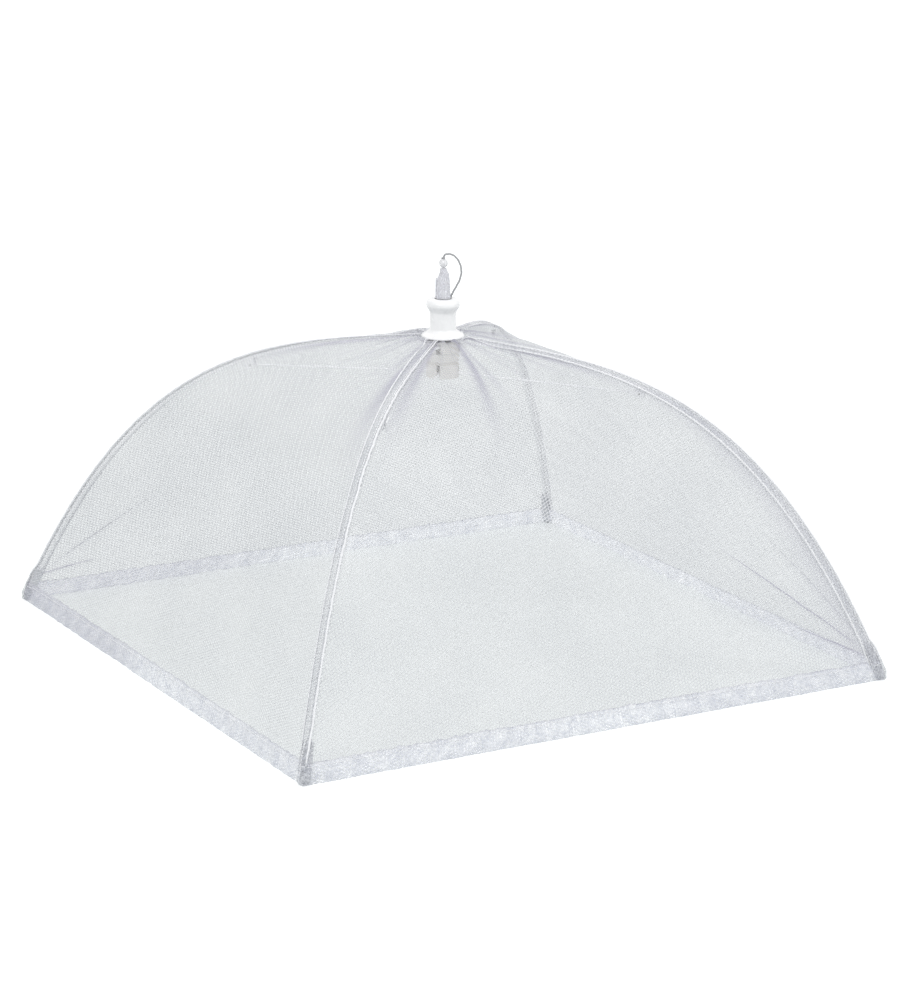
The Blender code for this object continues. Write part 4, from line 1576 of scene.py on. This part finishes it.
def head_outline(up, count):
    """The outline of the rod at a height above the hub's mouth, as radii round its middle."""
    if up < 0:
        body = rod_radius
    elif up < shoulder:
        body = foot_radius - (foot_radius - shoulder_radius) * up / shoulder
    elif up < 0.019:
        body = tip_radius + 0.0021 * (1 - ((up - shoulder) / 0.0058) ** 1.5)
    else:
        body = tip_radius
    finger = 0.0052 * (eased(-0.0001, 0.0006, up) - eased(0.0129, 0.0136, up))
    groove = eased(0.0, 0.0006, up) * (1 - eased(0.0115, 0.0145, up))
    flute = 0.00016 * eased(0.0008, 0.003, up) * (1 - eased(0.0165, 0.0185, up))
    set_back = 0.0009 * eased(0.0129, 0.0138, up) * (1 - eased(0.0165, 0.0190, up))
    radii = []
    for k in range(count):
        angle = 2 * math.pi * k / count
        ahead, beside = -math.cos(angle), abs(math.sin(angle))
        radius = body + flute * math.cos(15 * angle) - set_back * max(0.0, ahead)
        if finger > body * 0.8 and ahead > 0:
            straight = finger / max(ahead, 0.05)
            flank = 0.0016 / max(beside, 0.02)
            radius = max(radius, min(straight, flank))
        if groove > 0 and ahead < 0 and beside * body < groove_half:
            cut = body - 0.0015 * groove * (1 - (beside * body / groove_half) ** 4)
            radius = min(radius, cut)
        radii.append(radius)
    return radii


def rod_mesh():
    """A stack of outlines, closer together where the rod's form changes."""
    heights = [rod_bottom - head_bottom, rod_bottom - head_bottom + 0.0003, -0.02, -0.0006, -0.0001]
    heights += [0.00005, 0.0003, 0.0006, 0.001] + [0.0015 + 0.0005 * i for i in range(22)]
    heights += [0.0128, 0.0130, shoulder, 0.0134, 0.0136, 0.0139]
    heights += [0.0144 + 0.0005 * i for i in range(11)]
    top = [(0.0197, 0.97), (0.01995, 0.86), (0.0200, 0.62)]
    points, faces = [], []
    count = 120
    rings = [(up, 1.0) for up in heights] + top
    rings[0] = (heights[0], 0.9)
    for up, shrink in rings:
        seated = up - 0.00022 * (eased(-0.0005, -0.0001, up) - eased(0.0, 0.003, up))
        for k, radius in enumerate(head_outline(up, count)):
            angle = 2 * math.pi * k / count
            points.append((radius * shrink * math.cos(angle), radius * shrink * math.sin(angle), seated))
    for i in range(len(rings) - 1):
        for k in range(count):
            a, b = i * count + k, i * count + (k + 1) % count
            faces.append((a, b, b + count, a + count))
    faces.append(tuple(reversed(range(count))))
    faces.append(tuple((len(rings) - 1) * count + k for k in range(count)))
    mesh = mesh_of(points, faces)
    mesh.transform(Matrix.Translation((0, 0, head_bottom)) @ Matrix.Rotation(head_turn, 4, "Z"))
    return mesh


clear_bead = moulded_finish(
    "clear bead",
    (0.93, 0.93, 0.94, 1),
    (0.80, 0.80, 0.83, 1),
    0.12,
    cloud=500.0,
    wear=0.2,
    transmission_weight=0.3,
)
milky = moulded_finish(
    "milky plastic",
    (0.84, 0.84, 0.88, 1),
    (0.60, 0.60, 0.67, 1),
    0.26,
    cloud=300.0,
    wear=0.9,
    transmission_weight=0.35,
)
rod = new_piece("fluted_pull_rod", rod_mesh(), milky, "runner")
rod.data.set_sharp_from_angle(angle=math.radians(38))
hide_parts("pull_rod")
print(f"the latch head stands {head_height * 1000:.0f} mm out of the hub")

# %% [markdown]
# The pull cord leaves the hub's mouth beside the rod, makes one open loop to the right and ends in a knot
# on a small bead at the rod's tip. It is a light twisted cord, so its outline has three soft lobes that
# wind round it. Its route is a short row of given points with a smooth curve through them.

# %% Lead the pull cord
cord_thickness = 0.0014
bead_radius = 0.0030
head_top = head_bottom + head_height
bead_middle = Vector((0, 0, head_top + 0.0003 + bead_radius))
knot_height = bead_middle.z + bead_radius + 0.0003
cord_points = [
    (0.0046, -0.0130),
    (0.0046, -0.0060),
    (0.0046, -0.0008),
    (0.0060, 0.0030),
    (0.0080, 0.0068),
    (0.0106, 0.0118),
    (0.0119, 0.0170),
    (0.0114, 0.0219),
    (0.0094, 0.0262),
    (0.0066, 0.0289),
    (0.0036, 0.0298),
    (0.0009, 0.0292),
    (0.0000, knot_height - hub_top),
]


def smooth_line(points, steps):
    """A smooth curve through all of the points."""
    knots = [points[0], *points, points[-1]]
    line = []
    for i in range(1, len(knots) - 2):
        before, here, there, after = (Vector(knot) for knot in knots[i - 1 : i + 3])
        straight = there - before
        bent = 2 * before - 5 * here + 4 * there - after
        eased_back = 3 * here - before - 3 * there + after
        for step in range(steps):
            s = step / steps
            line.append(0.5 * (2 * here + straight * s + bent * s**2 + eased_back * s**3))
    line.append(Vector(knots[-1]))
    return line


turn_to_view = Matrix.Rotation(head_turn, 4, "Z")
cord_path = [turn_to_view @ Vector((out, 0, hub_top + up)) for out, up in smooth_line(cord_points, 24)]
cord_length = sum((b - a).length for a, b in zip(cord_path, cord_path[1:]))


def cord_ring(i, share):
    """Three soft lobes that wind round the cord as it goes."""
    wind = share * cord_length / 0.0042 * 2 * math.pi
    ring = []
    for k in range(24):
        angle = 2 * math.pi * k / 24
        radius = cord_thickness / 2 * (0.90 + 0.10 * math.cos(3 * (angle - wind / 3)))
        ring.append((radius * math.cos(angle), radius * math.sin(angle)))
    return ring


cord_light = (0.44, 0.44, 0.45, 1)
cord_dark = (0.24, 0.24, 0.25, 1)
grey_twist = spun_finish("grey twisted cord", cord_light, cord_dark, turns=900.0, strands=3.0)
cord = new_piece("pull_cord_loop", tube(cord_path, cord_ring), grey_twist, "crown")
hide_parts("pull_cord")
print(f"the cord's loop is {cord_length * 1000:.1f} mm long")

# %% Thread the bead and tie the knot
def bead_mesh():
    profile = []
    for i in range(17):
        angle = math.radians(76 - 152 * i / 16)
        profile.append((bead_radius * math.cos(angle), bead_radius * math.sin(angle)))
    profile.append((0.0004, -bead_radius * 0.90))
    profile.append((0.0004, bead_radius * 0.90))
    mesh = lathe(profile, 48)
    mesh.transform(Matrix.Translation(bead_middle))
    return mesh


def knot_mesh():
    """A small overhand knot: a trefoil of the same cord, pulled tight on the bead."""
    line = []
    for i in range(61):
        t = 2 * math.pi * i / 60
        x = math.sin(t) + 2 * math.sin(2 * t)
        y = math.cos(t) - 2 * math.cos(2 * t)
        line.append(Vector((x, y, -math.sin(3 * t))) * 0.00036 + Vector((0, 0, knot_height)))
    return tube(line, round_ring(0.00042, 12))


bead = new_piece("milky_bead", bead_mesh(), clear_bead, "crown")
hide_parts("cord_bead")
knot = new_piece("cord_knot", knot_mesh(), grey_twist, "crown")
tuple(cord_path[0])
[tuple(point) for point in cord_path]
print("the bead is", bead_radius * 2000, "mm wide")

# %% [markdown]
# The holder, the runner, the clips and the pins keep their solid shapes, which are right as they are.
# They only need their finishes: warm white plastic for the collars, the wire's own white coat for the
# clips, and for the pins bright steel with fine marks from drawing.

# %% Plate the steel
def make_plated_group():
    group, given, result = new_group(
        "plated steel",
        [("Place", VECTOR, None), ("Scale", FLOAT, 900.0), ("Tarnish", FLOAT, 0.3)],
        [("Colour", COLOUR), ("Roughness", FLOAT), ("Height", FLOAT)],
    )
    marks = noise_of(group, given["Place"], given["Scale"], 5.0, roughness=0.5)
    dull = sum_of(group, "MULTIPLY", ranged(group, marks, 0.4, 0.7), given["Tarnish"])
    group.links.new(between(group, dull, (0.72, 0.72, 0.71, 1), (0.42, 0.41, 0.40, 1)), result["Colour"])
    group.links.new(sum_of(group, "ADD", sum_of(group, "MULTIPLY", dull, 0.6), 0.24), result["Roughness"])
    group.links.new(marks, result["Height"])
    return group


plated_group = make_plated_group()


def plated_finish(name, scale, tarnish):
    material, tree, shader = new_finish(name, 0.3, metallic=1.0)
    plated = place_group(tree, plated_group, place=own_place(tree), scale=scale, tarnish=tarnish)
    tree.links.new(plated["Colour"], shader.inputs["Base Color"])
    tree.links.new(plated["Roughness"], shader.inputs["Roughness"])
    add_bump(tree, shader, plated["Height"], 0.00003)
    return material


pin_steel = plated_finish("plated pin steel", 1600.0, 0.2)

# %% Finish the solid pieces that stay
staying = {"rib_holder": warm_white, "runner": warm_white}
for rib in diagonals:
    staying[f"rib_clip_{rib}"] = coated_clip
    staying[f"clip_pin_{rib}"] = pin_steel
    staying[f"runner_pin_{rib}"] = pin_steel
    staying[f"rib_pin_{rib}"] = pin_steel
for name, finish in staying.items():
    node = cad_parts[name]
    for place in node.material_slots:
        place.material = finish
print("solid pieces finished:", len(staying))

# %% Measure and finish
bpy.context.view_layer.update()
sizes = {
    "cad": [[float(v) for v in corner] for corner in cad_box],
    "visual": [[float(v) for v in corner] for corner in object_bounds()],
}
print("frame box", [[round(v, 4) for v in corner] for corner in sizes["cad"]])
print("dressed box", [[round(v, 4) for v in corner] for corner in sizes["visual"]])
